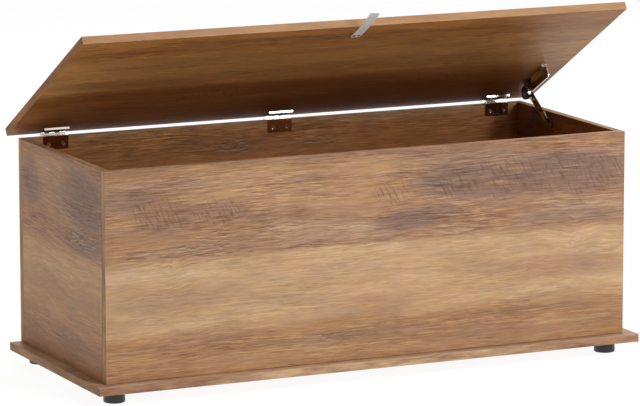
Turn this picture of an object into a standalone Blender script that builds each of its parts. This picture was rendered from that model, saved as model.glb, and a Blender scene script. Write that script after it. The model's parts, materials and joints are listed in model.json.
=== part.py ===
"""Wooden storage box with a lift-up lid, modelled as separate boards, hardware and fasteners.

The box stands on the floor at z = 0, with X along its front, Y from front to back and Z up.
The origin is under the middle of the whole box as it stands open. Lengths are in metres.
Lid pieces are modelled with the lid closed and hang on one empty on the hinge axis, which opens
them. In that lid frame a point lies at a reach forward of the axis (towards -Y) and at a height.
"""
import math

import bmesh
import bpy
from mathutils import Matrix, Vector

# Boards
BOARD = 0.015
BODY_WIDTH = 1.036
BODY_DEPTH = 0.412
BODY_HEIGHT = 0.379
SIDE_OVERHANG = 0.022
FRONT_OVERHANG = 0.022
EDGE_ROUND = 0.0008
EDGE_ROUND_STEPS = 2

# Clearances
SEAT_GAP = 0.0003
FIT_GAP = 0.0003
OVERRUN = 0.002

# Lid angles from closed
LID_REST_ANGLE = math.radians(29.9)
LID_FULL_ANGLE = math.radians(60.0)

# Feet
FOOT_HEIGHT = 0.022
FOOT_RADIUS = 0.0196
FOOT_TOP_RADIUS = 0.0188
FOOT_EDGE_ROUND = 0.0022
FOOT_SIDE_INSET = 0.047
FOOT_FRONT_INSET = 0.0465
FOOT_REAR_INSET = 0.031
FOOT_WEB = 0.008
FOOT_RECESS_RADIUS = 0.0065
FOOT_SIDES = 28
FOOT_EDGE_STEPS = 2

# Hinges
HINGE_WIDTH = 0.049
HINGE_SETBACK = 0.0025
HINGE_RISE = 0.0018
LEAF = 0.0014
BODY_LEAF_DROP = 0.023
LID_LEAF_REACH = 0.029
LID_LEAF_LIP = 0.0024
LID_LEAF_LIP_BASE = 0.0023
LID_LEAF_LIP_SLOPE = math.radians(18.0)
LID_LEAF_LIP_TIP = 0.0009
KNUCKLE_RADIUS = 0.0026
KNUCKLE_BORE = 0.0016
KNUCKLE_SIDES = 14
KNUCKLE_COUNT = 5
KNUCKLE_GAP = 0.0004
HINGE_PIN_RADIUS = 0.00128
HINGE_PIN_OVERHANG = 0.0006
HINGE_SCREW_SPACING = 0.028
HINGE_SCREW_DROP = 0.013
HINGE_LEFT_INSET = 0.0675
HINGE_RIGHT_INSET = 0.060

# Small countersunk screws, which hold the hinges, the handle and the stay
SCREW_HEAD_RADIUS = 0.0033
SCREW_HEAD_DEPTH = 0.0017
SCREW_SHANK_RADIUS = 0.0016
SCREW_LENGTH = 0.012
SCREW_TIP = 0.0025
SCREW_SIDES = 10
RECESS_SPAN_SHARE = 0.62
RECESS_BAR_SHARE = 0.2
RECESS_DEPTH_SHARE = 0.65
TIP_SHARE = 0.25

# Foot screws and base screws, of the same form
FOOT_SCREW_HEAD_RADIUS = 0.0042
FOOT_SCREW_HEAD_DEPTH = 0.0024
FOOT_SCREW_SHANK_RADIUS = 0.002
FOOT_SCREW_LENGTH = 0.019
BASE_SCREW_HEAD_RADIUS = 0.005
BASE_SCREW_HEAD_DEPTH = 0.003
BASE_SCREW_SHANK_RADIUS = 0.0032
BASE_SCREW_LENGTH = 0.05
BASE_SCREW_SIDE_INSET = 0.22

# Cam locks and their bolts, which draw the front and back boards onto the side boards
CAM_RADIUS = 0.0075
CAM_DEPTH = 0.012
CAM_SETBACK = 0.034
CAM_TOP_INSET = 0.1
CAM_SIDES = 20
CAM_SUNK = 0.0002
CAM_POCKET_RADIUS = 0.004
CAM_POCKET_OVERRUN = 0.003
BOLT_THREAD_RADIUS = 0.0036
BOLT_THREAD_LENGTH = 0.0105
BOLT_SHANK_RADIUS = 0.0026
BOLT_NECK_RADIUS = 0.0018
BOLT_NECK_LENGTH = 0.004
BOLT_HEAD_RADIUS = 0.0031
BOLT_HEAD_LENGTH = 0.0022
BOLT_SIDES = 12

# Strip handle under the front edge of the lid
HANDLE_WIDTH = 0.019
HANDLE_THICKNESS = 0.002
HANDLE_GRIP = 0.0465
HANDLE_REACH = 0.0535
HANDLE_BEND_START = 0.0015
HANDLE_BEND_RADIUS = 0.27
HANDLE_BEND_STEPS = 8
HANDLE_CORNER = 0.003
HANDLE_CORNER_STEPS = 3
HANDLE_SHIFT = 0.003
HANDLE_SCREW_INSET = 0.0065
HANDLE_SCREW_SPACING = 0.0092

# Lid stay at the right side: bracket and damper on the lid, arm, and a slotted track on the board
STAY_AIR = 0.0003
STAY_PIVOT_REACH = 0.0778
STAY_PIVOT_DROP = 0.0181
STAY_ARM_CLOSED_SLOPE = math.radians(4.0)
STAY_ARM_TURN_RATIO = 1.93
STAY_ARM_LENGTH = 0.076
STAY_ARM_THICKNESS = 0.002
STAY_ARM_HEAD_RADIUS = 0.008
STAY_ARM_TAIL_RADIUS = 0.0062
STAY_PIN_RADIUS = 0.0025
STAY_PIN_HEAD_RADIUS = 0.0038
STAY_PIN_HEAD = 0.0012
STAY_PIN_STANDOFF = 0.0006
TRACK_THICKNESS = 0.0025
TRACK_TOP_MARGIN = 0.0012
TRACK_HEIGHT = 0.03
TRACK_END_MARGIN = 0.0075
TRACK_SLOPE_LENGTH = 0.031
TRACK_SLOPE_DROP = 0.013
TRACK_CORNER = 0.0045
TRACK_SLOT_GAP = 0.0004
TRACK_SLOT_STEPS = 12
TRACK_SLOT_END_STEPS = 6
TRACK_TURN_ANGLE = math.radians(12.0)
TRACK_TURN_CENTRE_SHARE = 0.35
TRACK_TURN_EASE = 0.0008
TRACK_SCREW_RISE = 0.0065
TRACK_SCREW_INSET = 0.015
BRACKET_THICKNESS = 0.0018
BRACKET_FLANGE_WIDTH = 0.0115
BRACKET_FLANGE_START = 0.0835
BRACKET_BEND = 0.0004
BRACKET_DROP = 0.022
BRACKET_LUG_RADIUS = 0.009
BRACKET_FRONT_REACH = 0.1705
BRACKET_CORNER = 0.0045
BRACKET_REAR_SCREW_INSET = 0.009
BRACKET_FRONT_SCREW_INSET = 0.02
DAMPER_RADIUS = 0.0127
DAMPER_THICKNESS = 0.0085
DAMPER_EDGE = 0.0009
DAMPER_DISH_RADIUS = 0.0095
DAMPER_DISH_DEPTH = 0.0006
SPINDLE_RADIUS = 0.004
STAY_ROUND_SIDES = 28
STAY_PIN_SIDES = 20
CORNER_STEPS = 5

# Places that follow from the sizes above
BASE_TOP = FOOT_HEIGHT + SEAT_GAP + BOARD
BODY_TOP = BASE_TOP + BODY_HEIGHT
LID_UNDERSIDE = HINGE_RISE
REAR_REACH = (
    HINGE_SETBACK * (1 - math.cos(LID_REST_ANGLE))
    + (HINGE_RISE + BOARD) * math.sin(LID_REST_ANGLE)
    - EDGE_ROUND * (math.cos(LID_REST_ANGLE) + math.sin(LID_REST_ANGLE) - 1)
)
BACK_FACE = (BODY_DEPTH + FRONT_OVERHANG - REAR_REACH) / 2
FRONT_FACE = BACK_FACE - BODY_DEPTH
BACK_INNER = BACK_FACE - BOARD
FRONT_INNER = FRONT_FACE + BOARD
SIDE_OUTER = BODY_WIDTH / 2
SIDE_INNER = SIDE_OUTER - BOARD
AXIS_Y = BACK_FACE + HINGE_SETBACK
AXIS_Z = BODY_TOP + HINGE_RISE
LID_REAR_REACH = HINGE_SETBACK
LID_FRONT_REACH = HINGE_SETBACK + BODY_DEPTH + FRONT_OVERHANG
STAY_PIVOT_HEIGHT = LID_UNDERSIDE - STAY_PIVOT_DROP
TRACK_OUTER = SIDE_INNER - SEAT_GAP
TRACK_INNER = TRACK_OUTER - TRACK_THICKNESS
ARM_OUTER = TRACK_INNER - STAY_AIR
ARM_INNER = ARM_OUTER - STAY_ARM_THICKNESS
BRACKET_OUTER = ARM_INNER - STAY_AIR
BRACKET_INNER = BRACKET_OUTER - BRACKET_THICKNESS
DAMPER_OUTER = BRACKET_INNER - STAY_AIR
DAMPER_INNER = DAMPER_OUTER - DAMPER_THICKNESS
HINGE_CENTRES = {
    "left": HINGE_LEFT_INSET - SIDE_OUTER,
    "middle": 0.0,
    "right": SIDE_OUTER - HINGE_RIGHT_INSET,
}

# Finishes: base colour, roughness and metallic value
FINISHES = {
    "wood": ((0.33, 0.19, 0.105, 1.0), 0.55, 0.0),
    "black plastic": ((0.02, 0.02, 0.021, 1.0), 0.45, 0.0),
    "nickel": ((0.63, 0.61, 0.58, 1.0), 0.22, 1.0),
    "brushed nickel": ((0.55, 0.53, 0.52, 1.0), 0.38, 1.0),
    "zinc": ((0.5, 0.5, 0.49, 1.0), 0.42, 1.0),
    "dark cap": ((0.03, 0.025, 0.024, 1.0), 0.35, 0.0),
}

TURN = 2 * math.pi
HALF_TURN = math.pi
QUARTER_TURN = math.pi / 2
FACE_UP = Matrix.Identity(4)
FACE_DOWN = Matrix.Rotation(HALF_TURN, 4, "X")
FACE_FRONT = Matrix.Rotation(QUARTER_TURN, 4, "X")
FACE_LEFT = Matrix.Rotation(-QUARTER_TURN, 4, "Y")
FACE_RIGHT = Matrix.Rotation(QUARTER_TURN, 4, "Y")
FACE_BACK = Matrix.Rotation(-QUARTER_TURN, 4, "X")


def clear_scene():
    """Remove every object, so that the script starts from nothing."""
    for obj in list(bpy.data.objects):
        bpy.data.objects.remove(obj, do_unlink=True)


def finish_material(name):
    """Return the material of a finish, made on first use."""
    material = bpy.data.materials.get(name)
    if material is None:
        colour, roughness, metallic = FINISHES[name]
        material = bpy.data.materials.new(name)
        material.use_nodes = True
        shader = material.node_tree.nodes["Principled BSDF"]
        shader.inputs["Base Color"].default_value = colour
        shader.inputs["Roughness"].default_value = roughness
        shader.inputs["Metallic"].default_value = metallic
    return material


def place(obj, parent=None, location=(0, 0, 0), turn=FACE_UP):
    """Put an object at a location and turn, under its parent if it has one."""
    bpy.context.collection.objects.link(obj)
    obj.parent = parent
    obj.location = location
    obj.rotation_euler = turn.to_euler()
    return obj


def mesh_from(bm, name, finish=None, smooth_angle=None):
    """Close a bmesh into a mesh whose faces point outwards."""
    bmesh.ops.recalc_face_normals(bm, faces=bm.faces)
    mesh = bpy.data.meshes.new(name)
    bm.to_mesh(mesh)
    bm.free()
    if finish is not None:
        mesh.materials.append(finish_material(finish))
    if smooth_angle is not None:
        mesh.shade_smooth()
        mesh.set_sharp_from_angle(angle=smooth_angle)
    return mesh


def piece(name, bm, finish, parent=None, smooth_angle=None):
    """Make one named sub-part from a bmesh."""
    return place(bpy.data.objects.new(name, mesh_from(bm, name, finish, smooth_angle)), parent)


def helper(name, bm, parent=None):
    """Make a shape that only cuts others and isn't part of the box."""
    obj = place(bpy.data.objects.new(name, mesh_from(bm, name)), parent)
    obj.hide_render = True
    obj.display_type = "WIRE"
    return obj


def boolean(target, cutter, operation="DIFFERENCE"):
    """Cut a helper's shape out of a sub-part, or join it on."""
    modifier = target.modifiers.new(cutter.name, "BOOLEAN")
    modifier.object = cutter
    modifier.operation = operation
    modifier.solver = "EXACT"


def round_edges(target, width=EDGE_ROUND, segments=EDGE_ROUND_STEPS):
    """Ease the sharp edges of a board."""
    modifier = target.modifiers.new("eased edges", "BEVEL")
    modifier.width = width
    modifier.segments = segments
    modifier.limit_method = "ANGLE"


def add_box(bm, low, high):
    """Add a box between two corners."""
    low = Vector(low)
    high = Vector(high)
    size = high - low
    matrix = Matrix.Translation((low + high) / 2) @ Matrix.Diagonal((size.x, size.y, size.z, 1.0))
    bmesh.ops.create_cube(bm, size=1.0, matrix=matrix)


def add_prism(bm, outline, start, end, axis="X"):
    """Add the solid that an outline sweeps along an axis.

    The outline's two numbers are Y and Z for the X axis, and X and Z for the Y axis.
    """
    def point(first, second, along):
        if axis == "X":
            return Vector((along, first, second))
        return Vector((first, along, second))

    near = [bm.verts.new(point(a, b, start)) for a, b in outline]
    far = [bm.verts.new(point(a, b, end)) for a, b in outline]
    bm.faces.new(near)
    bm.faces.new(far)
    for index in range(len(outline)):
        following = (index + 1) % len(outline)
        bm.faces.new((near[index], near[following], far[following], far[index]))


def add_turned(bm, profile, sides, matrix=FACE_UP):
    """Add a solid turned about its own Z axis from a profile of radii and heights."""
    rings = []
    for radius, height in profile:
        count = sides if radius > 0 else 1
        ring = []
        for index in range(count):
            angle = TURN * index / count
            spot = Vector((radius * math.cos(angle), radius * math.sin(angle), height))
            ring.append(bm.verts.new(matrix @ spot))
        rings.append(ring)
    for ring in (rings[0], rings[-1]):
        if len(ring) > 1:
            bm.faces.new(ring)
    for lower, upper in zip(rings, rings[1:]):
        for index in range(sides):
            following = (index + 1) % sides
            corners = []
            for ring, spot in ((lower, index), (lower, following), (upper, following), (upper, index)):
                vertex = ring[spot % len(ring)]
                if vertex not in corners:
                    corners.append(vertex)
            bm.faces.new(corners)


def at(location, turn=FACE_UP):
    """Return the matrix that turns a shape and moves it to a location."""
    return Matrix.Translation(location) @ turn


def arc(centre, radius, start, end, steps):
    """Return points along an arc, both ends included."""
    points = []
    for index in range(steps + 1):
        angle = start + (end - start) * index / steps
        points.append((centre[0] + radius * math.cos(angle), centre[1] + radius * math.sin(angle)))
    return points


def rounded_polygon(corners, radius):
    """Return the outline of a convex anticlockwise polygon with round corners."""
    outline = []
    for index, corner in enumerate(corners):
        corner = Vector(corner)
        before = (Vector(corners[index - 1]) - corner).normalized()
        after = (Vector(corners[(index + 1) % len(corners)]) - corner).normalized()
        half = before.angle(after) / 2
        centre = corner + (before + after).normalized() * radius / math.sin(half)
        start = math.atan2(before.x, -before.y)
        sweep = HALF_TURN - 2 * half
        outline += arc(tuple(centre), radius, start, start + sweep, CORNER_STEPS)
    return outline


def screw_hole_profile(head_radius, head_depth, shank_radius, length):
    """Return the profile of the hole that a countersunk screw needs."""
    slope = (head_radius - shank_radius) / head_depth
    return [
        (head_radius + FIT_GAP + slope * OVERRUN, OVERRUN),
        (head_radius + FIT_GAP, 0.0),
        (shank_radius + FIT_GAP, -head_depth),
        (shank_radius + FIT_GAP, -length - FIT_GAP),
    ]


def small_screw_hole():
    """Return the profile of a small screw's hole."""
    return screw_hole_profile(
        SCREW_HEAD_RADIUS, SCREW_HEAD_DEPTH, SCREW_SHANK_RADIUS, SCREW_LENGTH
    )


def cross_outline(span, bar):
    """Return the plus-shaped outline of a cross recess."""
    return [
        (bar, bar), (bar, span), (-bar, span), (-bar, bar), (-span, bar), (-span, -bar),
        (-bar, -bar), (-bar, -span), (bar, -span), (bar, -bar), (span, -bar), (span, bar),
    ]


def cross_cutter(name, radius, depth):
    """Make the helper that cuts a cross recess downwards from z = 0."""
    bm = bmesh.new()
    add_prism(bm, cross_outline(radius * RECESS_SPAN_SHARE, radius * RECESS_BAR_SHARE), -depth, OVERRUN, "Y")
    bmesh.ops.transform(bm, matrix=FACE_FRONT, verts=bm.verts)
    return helper(name, bm)


def finished_mesh(obj):
    """Return the mesh that an object's modifiers make, and remove the object."""
    graph = bpy.context.evaluated_depsgraph_get()
    mesh = bpy.data.meshes.new_from_object(obj.evaluated_get(graph))
    bpy.data.objects.remove(obj, do_unlink=True)
    return mesh


def screw_mesh(name, head_radius, head_depth, shank_radius, length):
    """Make a countersunk cross-recess screw, its head's flat face at z = 0 and its point down."""
    bm = bmesh.new()
    profile = [
        (head_radius, 0.0),
        (shank_radius, -head_depth),
        (shank_radius, SCREW_TIP - length),
        (shank_radius * TIP_SHARE, -length),
    ]
    add_turned(bm, profile, SCREW_SIDES)
    blank = piece(name, bm, "nickel")
    cutter = cross_cutter(name + " recess", head_radius, head_depth * RECESS_DEPTH_SHARE)
    boolean(blank, cutter)
    mesh = finished_mesh(blank)
    bpy.data.objects.remove(cutter, do_unlink=True)
    return mesh


def fastener(name, mesh, location, turn, parent=None):
    """Put one copy of a fastener in place."""
    return place(bpy.data.objects.new(name, mesh), parent, location, turn)


def board(name, low, high, parent=None):
    """Make a board with eased edges."""
    bm = bmesh.new()
    add_box(bm, low, high)
    target = piece(name, bm, "wood", parent)
    round_edges(target)
    return target


def drill(target, holes, parent=None):
    """Cut turned holes out of a sub-part; each hole is a profile, a matrix and a number of sides."""
    bm = bmesh.new()
    for profile, matrix, sides in holes:
        add_turned(bm, profile, sides, matrix)
    boolean(target, helper(target.name + " holes", bm, parent))


def hinge_screw_places():
    """Return the sideways places of each hinge's two screws, by hinge name."""
    places = {}
    for side, centre in HINGE_CENTRES.items():
        places[side] = (centre - HINGE_SCREW_SPACING / 2, centre + HINGE_SCREW_SPACING / 2)
    return places


def body_leaf_face():
    """Return the y of the front face of the hinge leaves on the back board."""
    return BACK_INNER - SEAT_GAP - LEAF


def lid_leaf_face():
    """Return the height of the lower face of the hinge leaves, in the lid frame."""
    return LID_UNDERSIDE - SEAT_GAP - LEAF


def foot_places():
    """Return each foot's name and centre."""
    side = SIDE_OUTER + SIDE_OVERHANG - FOOT_SIDE_INSET
    front = FRONT_FACE - FRONT_OVERHANG + FOOT_FRONT_INSET
    rear = BACK_FACE - FOOT_REAR_INSET
    return {
        "front_left": (-side, front),
        "front_right": (side, front),
        "rear_left": (-side, rear),
        "rear_right": (side, rear),
    }


def base_screw_places():
    """Return each base screw's name and centre, under the front and back boards."""
    side = SIDE_OUTER - BASE_SCREW_SIDE_INSET
    front = (FRONT_FACE + FRONT_INNER) / 2
    rear = (BACK_FACE + BACK_INNER) / 2
    return {
        "front_left": (-side, front),
        "front_right": (side, front),
        "rear_left": (-side, rear),
        "rear_right": (side, rear),
    }


def cam_places():
    """Return each cam's name, centre on the side board's middle plane, and the bolt's direction."""
    middle = SIDE_OUTER - BOARD / 2
    height = BODY_TOP - CAM_TOP_INSET
    front = FRONT_INNER + CAM_SETBACK
    rear = BACK_INNER - CAM_SETBACK
    return {
        "front_left": (Vector((-middle, front, height)), -1),
        "front_right": (Vector((middle, front, height)), -1),
        "rear_left": (Vector((-middle, rear, height)), 1),
        "rear_right": (Vector((middle, rear, height)), 1),
    }


def cylinder(radius, bottom, top):
    """Return the profile of a plain cylinder."""
    return [(radius, bottom), (radius, top)]


def base_screw_hole():
    """Return the profile of a base screw's hole."""
    return screw_hole_profile(
        BASE_SCREW_HEAD_RADIUS, BASE_SCREW_HEAD_DEPTH, BASE_SCREW_SHANK_RADIUS, BASE_SCREW_LENGTH
    )


def foot_screw_depth():
    """Return how far above the floor a foot screw's head face lies."""
    return FOOT_HEIGHT - FOOT_WEB


def build_base():
    """Make the base board, which is also the floor of the box."""
    low = (-SIDE_OUTER - SIDE_OVERHANG, FRONT_FACE - FRONT_OVERHANG, FOOT_HEIGHT + SEAT_GAP)
    high = (SIDE_OUTER + SIDE_OVERHANG, BACK_FACE, BASE_TOP)
    target = board("base_board", low, high)
    holes = []
    for x, y in base_screw_places().values():
        holes.append((base_screw_hole(), at((x, y, FOOT_HEIGHT + SEAT_GAP), FACE_DOWN), SCREW_SIDES))
    pilot = cylinder(FOOT_SCREW_SHANK_RADIUS + FIT_GAP, -FOOT_SCREW_LENGTH - FIT_GAP, 0.0)
    for x, y in foot_places().values():
        holes.append((pilot, at((x, y, foot_screw_depth()), FACE_DOWN), SCREW_SIDES))
    drill(target, holes)


def build_long_boards():
    """Make the front and back boards, which cover the ends of the side boards."""
    bottom = BASE_TOP + SEAT_GAP
    ranges = {
        "front_panel": (FRONT_FACE, FRONT_INNER),
        "back_panel": (BACK_INNER, BACK_FACE),
    }
    for name, (near, far) in ranges.items():
        end = "front" if name == "front_panel" else "rear"
        target = board(name, (-SIDE_OUTER, near, bottom), (SIDE_OUTER, far, BODY_TOP))
        holes = []
        for place_name, (x, y) in base_screw_places().items():
            if place_name.startswith(end):
                matrix = at((x, y, FOOT_HEIGHT + SEAT_GAP), FACE_DOWN)
                holes.append((base_screw_hole(), matrix, SCREW_SIDES))
        thread = cylinder(BOLT_THREAD_RADIUS + FIT_GAP, -OVERRUN, BOLT_THREAD_LENGTH + FIT_GAP)
        for place_name, (centre, direction) in cam_places().items():
            if place_name.startswith(end):
                face = FRONT_INNER if direction < 0 else BACK_INNER
                turn = FACE_FRONT if direction < 0 else FACE_BACK
                holes.append((thread, at((centre.x, face, centre.z), turn), BOLT_SIDES))
        if name == "back_panel":
            height = BODY_TOP - HINGE_SCREW_DROP
            for places in hinge_screw_places().values():
                for x in places:
                    matrix = at((x, body_leaf_face(), height), FACE_FRONT)
                    holes.append((small_screw_hole(), matrix, SCREW_SIDES))
        drill(target, holes)


def track_screw_places():
    """Return the places of the track's screws on its front face."""
    low, high = track_corners()
    height = low[1] + TRACK_SCREW_RISE
    return [
        Vector((TRACK_INNER, low[0] + TRACK_SCREW_INSET, height)),
        Vector((TRACK_INNER, high[0] - TRACK_SCREW_INSET, height)),
    ]


def build_side_boards():
    """Make the side boards, held between the front and back boards."""
    bottom = BASE_TOP + SEAT_GAP
    near = FRONT_INNER + SEAT_GAP
    far = BACK_INNER - SEAT_GAP
    pocket = cylinder(CAM_RADIUS + FIT_GAP, -CAM_DEPTH - FIT_GAP, OVERRUN)
    channel = cylinder(BOLT_HEAD_RADIUS + FIT_GAP, 0.0, CAM_SETBACK)
    for side, sign in (("left", -1), ("right", 1)):
        outer = sign * SIDE_OUTER
        inner = sign * SIDE_INNER
        low = (min(outer, inner), near, bottom)
        high = (max(outer, inner), far, BODY_TOP)
        target = board(side + "_side_panel", low, high)
        holes = []
        channels = []
        for place_name, (centre, direction) in cam_places().items():
            if not place_name.endswith(side):
                continue
            inward = FACE_RIGHT if sign < 0 else FACE_LEFT
            holes.append((pocket, at((inner, centre.y, centre.z), inward), CAM_SIDES))
            outward = FACE_FRONT if direction < 0 else FACE_BACK
            channels.append((channel, at(centre, outward), BOLT_SIDES))
        if sign > 0:
            for spot in track_screw_places():
                holes.append((small_screw_hole(), at(spot, FACE_LEFT), SCREW_SIDES))
        drill(target, holes)
        bm = bmesh.new()
        for profile, matrix, sides in channels:
            add_turned(bm, profile, sides, matrix)
        boolean(target, helper(target.name + " bolt channels", bm))


def build_feet(screw):
    """Make the round feet and the screws that hold them."""
    profile = [
        (FOOT_RECESS_RADIUS, foot_screw_depth()),
        (FOOT_RECESS_RADIUS, 0.0),
    ]
    centre = (FOOT_RADIUS - FOOT_EDGE_ROUND, FOOT_EDGE_ROUND)
    profile += arc(centre, FOOT_EDGE_ROUND, -QUARTER_TURN, 0.0, FOOT_EDGE_STEPS)
    profile.append((FOOT_TOP_RADIUS, FOOT_HEIGHT))
    bore = [
        (FOOT_SCREW_SHANK_RADIUS + FIT_GAP, FOOT_HEIGHT),
        (FOOT_SCREW_SHANK_RADIUS + FIT_GAP, foot_screw_depth() + FOOT_SCREW_HEAD_DEPTH),
        (FOOT_SCREW_HEAD_RADIUS + FIT_GAP, foot_screw_depth()),
    ]
    outline = bore + profile
    bm = bmesh.new()
    add_ring(bm, outline, FOOT_SIDES)
    mesh = mesh_from(bm, "foot", "black plastic", math.radians(40))
    for name, (x, y) in foot_places().items():
        fastener("foot_" + name, mesh, (x, y, 0), FACE_UP)
        fastener("foot_screw_" + name, screw, (x, y, foot_screw_depth()), FACE_DOWN)


def add_ring(bm, outline, sides, matrix=FACE_UP):
    """Add a ring: a closed outline of radii and heights turned about Z, with an open bore."""
    rings = []
    for radius, height in outline:
        ring = []
        for index in range(sides):
            angle = TURN * index / sides
            spot = Vector((radius * math.cos(angle), radius * math.sin(angle), height))
            ring.append(bm.verts.new(matrix @ spot))
        rings.append(ring)
    for index, ring in enumerate(rings):
        following = rings[(index + 1) % len(rings)]
        for spot in range(sides):
            other = (spot + 1) % sides
            bm.faces.new((ring[spot], ring[other], following[other], following[spot]))


def knuckle_ranges(owner):
    """Return where a leaf's knuckles start and end from the hinge's middle; owner is 0 or 1."""
    pitch = HINGE_WIDTH / KNUCKLE_COUNT
    ranges = []
    for index in range(KNUCKLE_COUNT):
        if index % 2 == owner:
            start = index * pitch - HINGE_WIDTH / 2
            low = start + (KNUCKLE_GAP / 2 if index > 0 else 0)
            high = start + pitch - (KNUCKLE_GAP / 2 if index < KNUCKLE_COUNT - 1 else 0)
            ranges.append((low, high))
    return ranges


def knuckle_outline(bottom, top, reach):
    """Return a knuckle's section: its round and the neck that runs forward to the leaf."""
    lower = math.asin(bottom / KNUCKLE_RADIUS)
    upper = math.asin(top / KNUCKLE_RADIUS)
    outline = arc((0.0, 0.0), KNUCKLE_RADIUS, -HALF_TURN - lower, HALF_TURN - upper, KNUCKLE_SIDES)
    outline += [(-reach, top), (-reach, bottom)]
    return outline


def add_knuckles(bm, owner, bottom, top):
    """Add a leaf's knuckles with their necks, about the hinge axis."""
    neck = KNUCKLE_RADIUS + KNUCKLE_GAP + LEAF
    for low, high in knuckle_ranges(owner):
        add_prism(bm, knuckle_outline(bottom, top, neck), low, high)


def hinge_leaf(name, plate, owner, bottom, top, finish, parent, location, turn=FACE_UP):
    """Make one hinge leaf from its plate's section, and join and bore its knuckles."""
    bm = bmesh.new()
    add_prism(bm, plate, -HINGE_WIDTH / 2, HINGE_WIDTH / 2)
    target = piece(name, bm, finish, parent)
    target.location = location
    bm = bmesh.new()
    add_knuckles(bm, owner, bottom, top)
    knuckles = helper(name + " knuckles", bm, parent)
    knuckles.location = location
    boolean(target, knuckles, "UNION")
    bm = bmesh.new()
    half = HINGE_WIDTH / 2 + OVERRUN
    add_turned(bm, cylinder(KNUCKLE_BORE, -half, half), KNUCKLE_SIDES, FACE_RIGHT)
    bore = helper(name + " bore", bm, parent)
    bore.location = location
    boolean(target, bore)
    return target


def build_hinges(screw, lid):
    """Make the three hinges, their pins and their screws."""
    clear = KNUCKLE_RADIUS + KNUCKLE_GAP
    body_bottom = SEAT_GAP - HINGE_RISE
    body_top = body_bottom + LEAF
    inner = HINGE_SETBACK + BOARD + SEAT_GAP
    drop = -HINGE_RISE - BODY_LEAF_DROP
    body_plate = [
        (-clear, body_bottom), (-inner, body_bottom), (-inner, drop),
        (-inner - LEAF, drop), (-inner - LEAF, body_top), (-clear, body_top),
    ]
    lid_top = LID_UNDERSIDE - SEAT_GAP
    lid_bottom = lid_leaf_face()
    lip_low = lid_bottom - LID_LEAF_LIP
    lip_front = -LID_LEAF_REACH + (lid_top - lip_low) * math.tan(LID_LEAF_LIP_SLOPE)
    lid_plate = [
        (-clear, lid_bottom), (-LID_LEAF_REACH + LID_LEAF_LIP_BASE, lid_bottom),
        (lip_front + LID_LEAF_LIP_TIP, lip_low), (lip_front, lip_low),
        (-LID_LEAF_REACH, lid_top), (-clear, lid_top),
    ]
    places = hinge_screw_places()
    for side, centre in HINGE_CENTRES.items():
        name = "hinge_" + side
        body_leaf = hinge_leaf(
            name + "_body_leaf", body_plate, 0, body_bottom, body_top, "nickel",
            None, (centre, AXIS_Y, AXIS_Z),
        )
        lid_leaf = hinge_leaf(
            name + "_lid_leaf", lid_plate, 1, lid_bottom, lid_top, "nickel", lid, (centre, 0, 0),
        )
        body_holes = []
        lid_holes = []
        height = BODY_TOP - HINGE_SCREW_DROP
        reach = HINGE_SCREW_DROP + HINGE_SETBACK
        for number, x in enumerate(places[side], start=1):
            body_spot = (x, body_leaf_face(), height)
            lid_spot = (x, -reach, lid_bottom)
            body_holes.append((small_screw_hole(), at(body_spot, FACE_FRONT), SCREW_SIDES))
            lid_holes.append((small_screw_hole(), at(lid_spot, FACE_DOWN), SCREW_SIDES))
            fastener(f"{name}_body_screw_{number}", screw, body_spot, FACE_FRONT)
            fastener(f"{name}_lid_screw_{number}", screw, lid_spot, FACE_DOWN, lid)
        drill(body_leaf, body_holes)
        drill(lid_leaf, lid_holes, lid)
        bm = bmesh.new()
        half = HINGE_WIDTH / 2
        end = half + HINGE_PIN_OVERHANG
        profile = [
            (HINGE_PIN_RADIUS - HINGE_PIN_OVERHANG, -end), (HINGE_PIN_RADIUS, -half),
            (HINGE_PIN_RADIUS, half), (HINGE_PIN_RADIUS - HINGE_PIN_OVERHANG, end),
        ]
        add_turned(bm, profile, SCREW_SIDES, FACE_RIGHT)
        pin = piece(name + "_pin", bm, "nickel")
        pin.location = (centre, AXIS_Y, AXIS_Z)


def build_lid(lid):
    """Make the lid board, closed in the lid frame, with holes for what is screwed to it."""
    low = (-SIDE_OUTER - SIDE_OVERHANG, -LID_FRONT_REACH, LID_UNDERSIDE)
    high = (SIDE_OUTER + SIDE_OVERHANG, -LID_REAR_REACH, LID_UNDERSIDE + BOARD)
    target = board("lid_panel", low, high, lid)
    holes = []
    spots = []
    for places in hinge_screw_places().values():
        for x in places:
            spots.append((x, -HINGE_SCREW_DROP - HINGE_SETBACK, lid_leaf_face()))
    spots += handle_screw_places()
    spots += bracket_screw_places()
    for spot in spots:
        holes.append((small_screw_hole(), at(spot, FACE_DOWN), SCREW_SIDES))
    drill(target, holes, lid)


def handle_screw_places():
    """Return the places of the handle's screws in the lid frame."""
    reach = LID_FRONT_REACH - HANDLE_GRIP + HANDLE_SCREW_INSET
    height = LID_UNDERSIDE - SEAT_GAP - HANDLE_THICKNESS
    half = HANDLE_SCREW_SPACING / 2
    return [(HANDLE_SHIFT - half, -reach, height), (HANDLE_SHIFT + half, -reach, height)]


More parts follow.
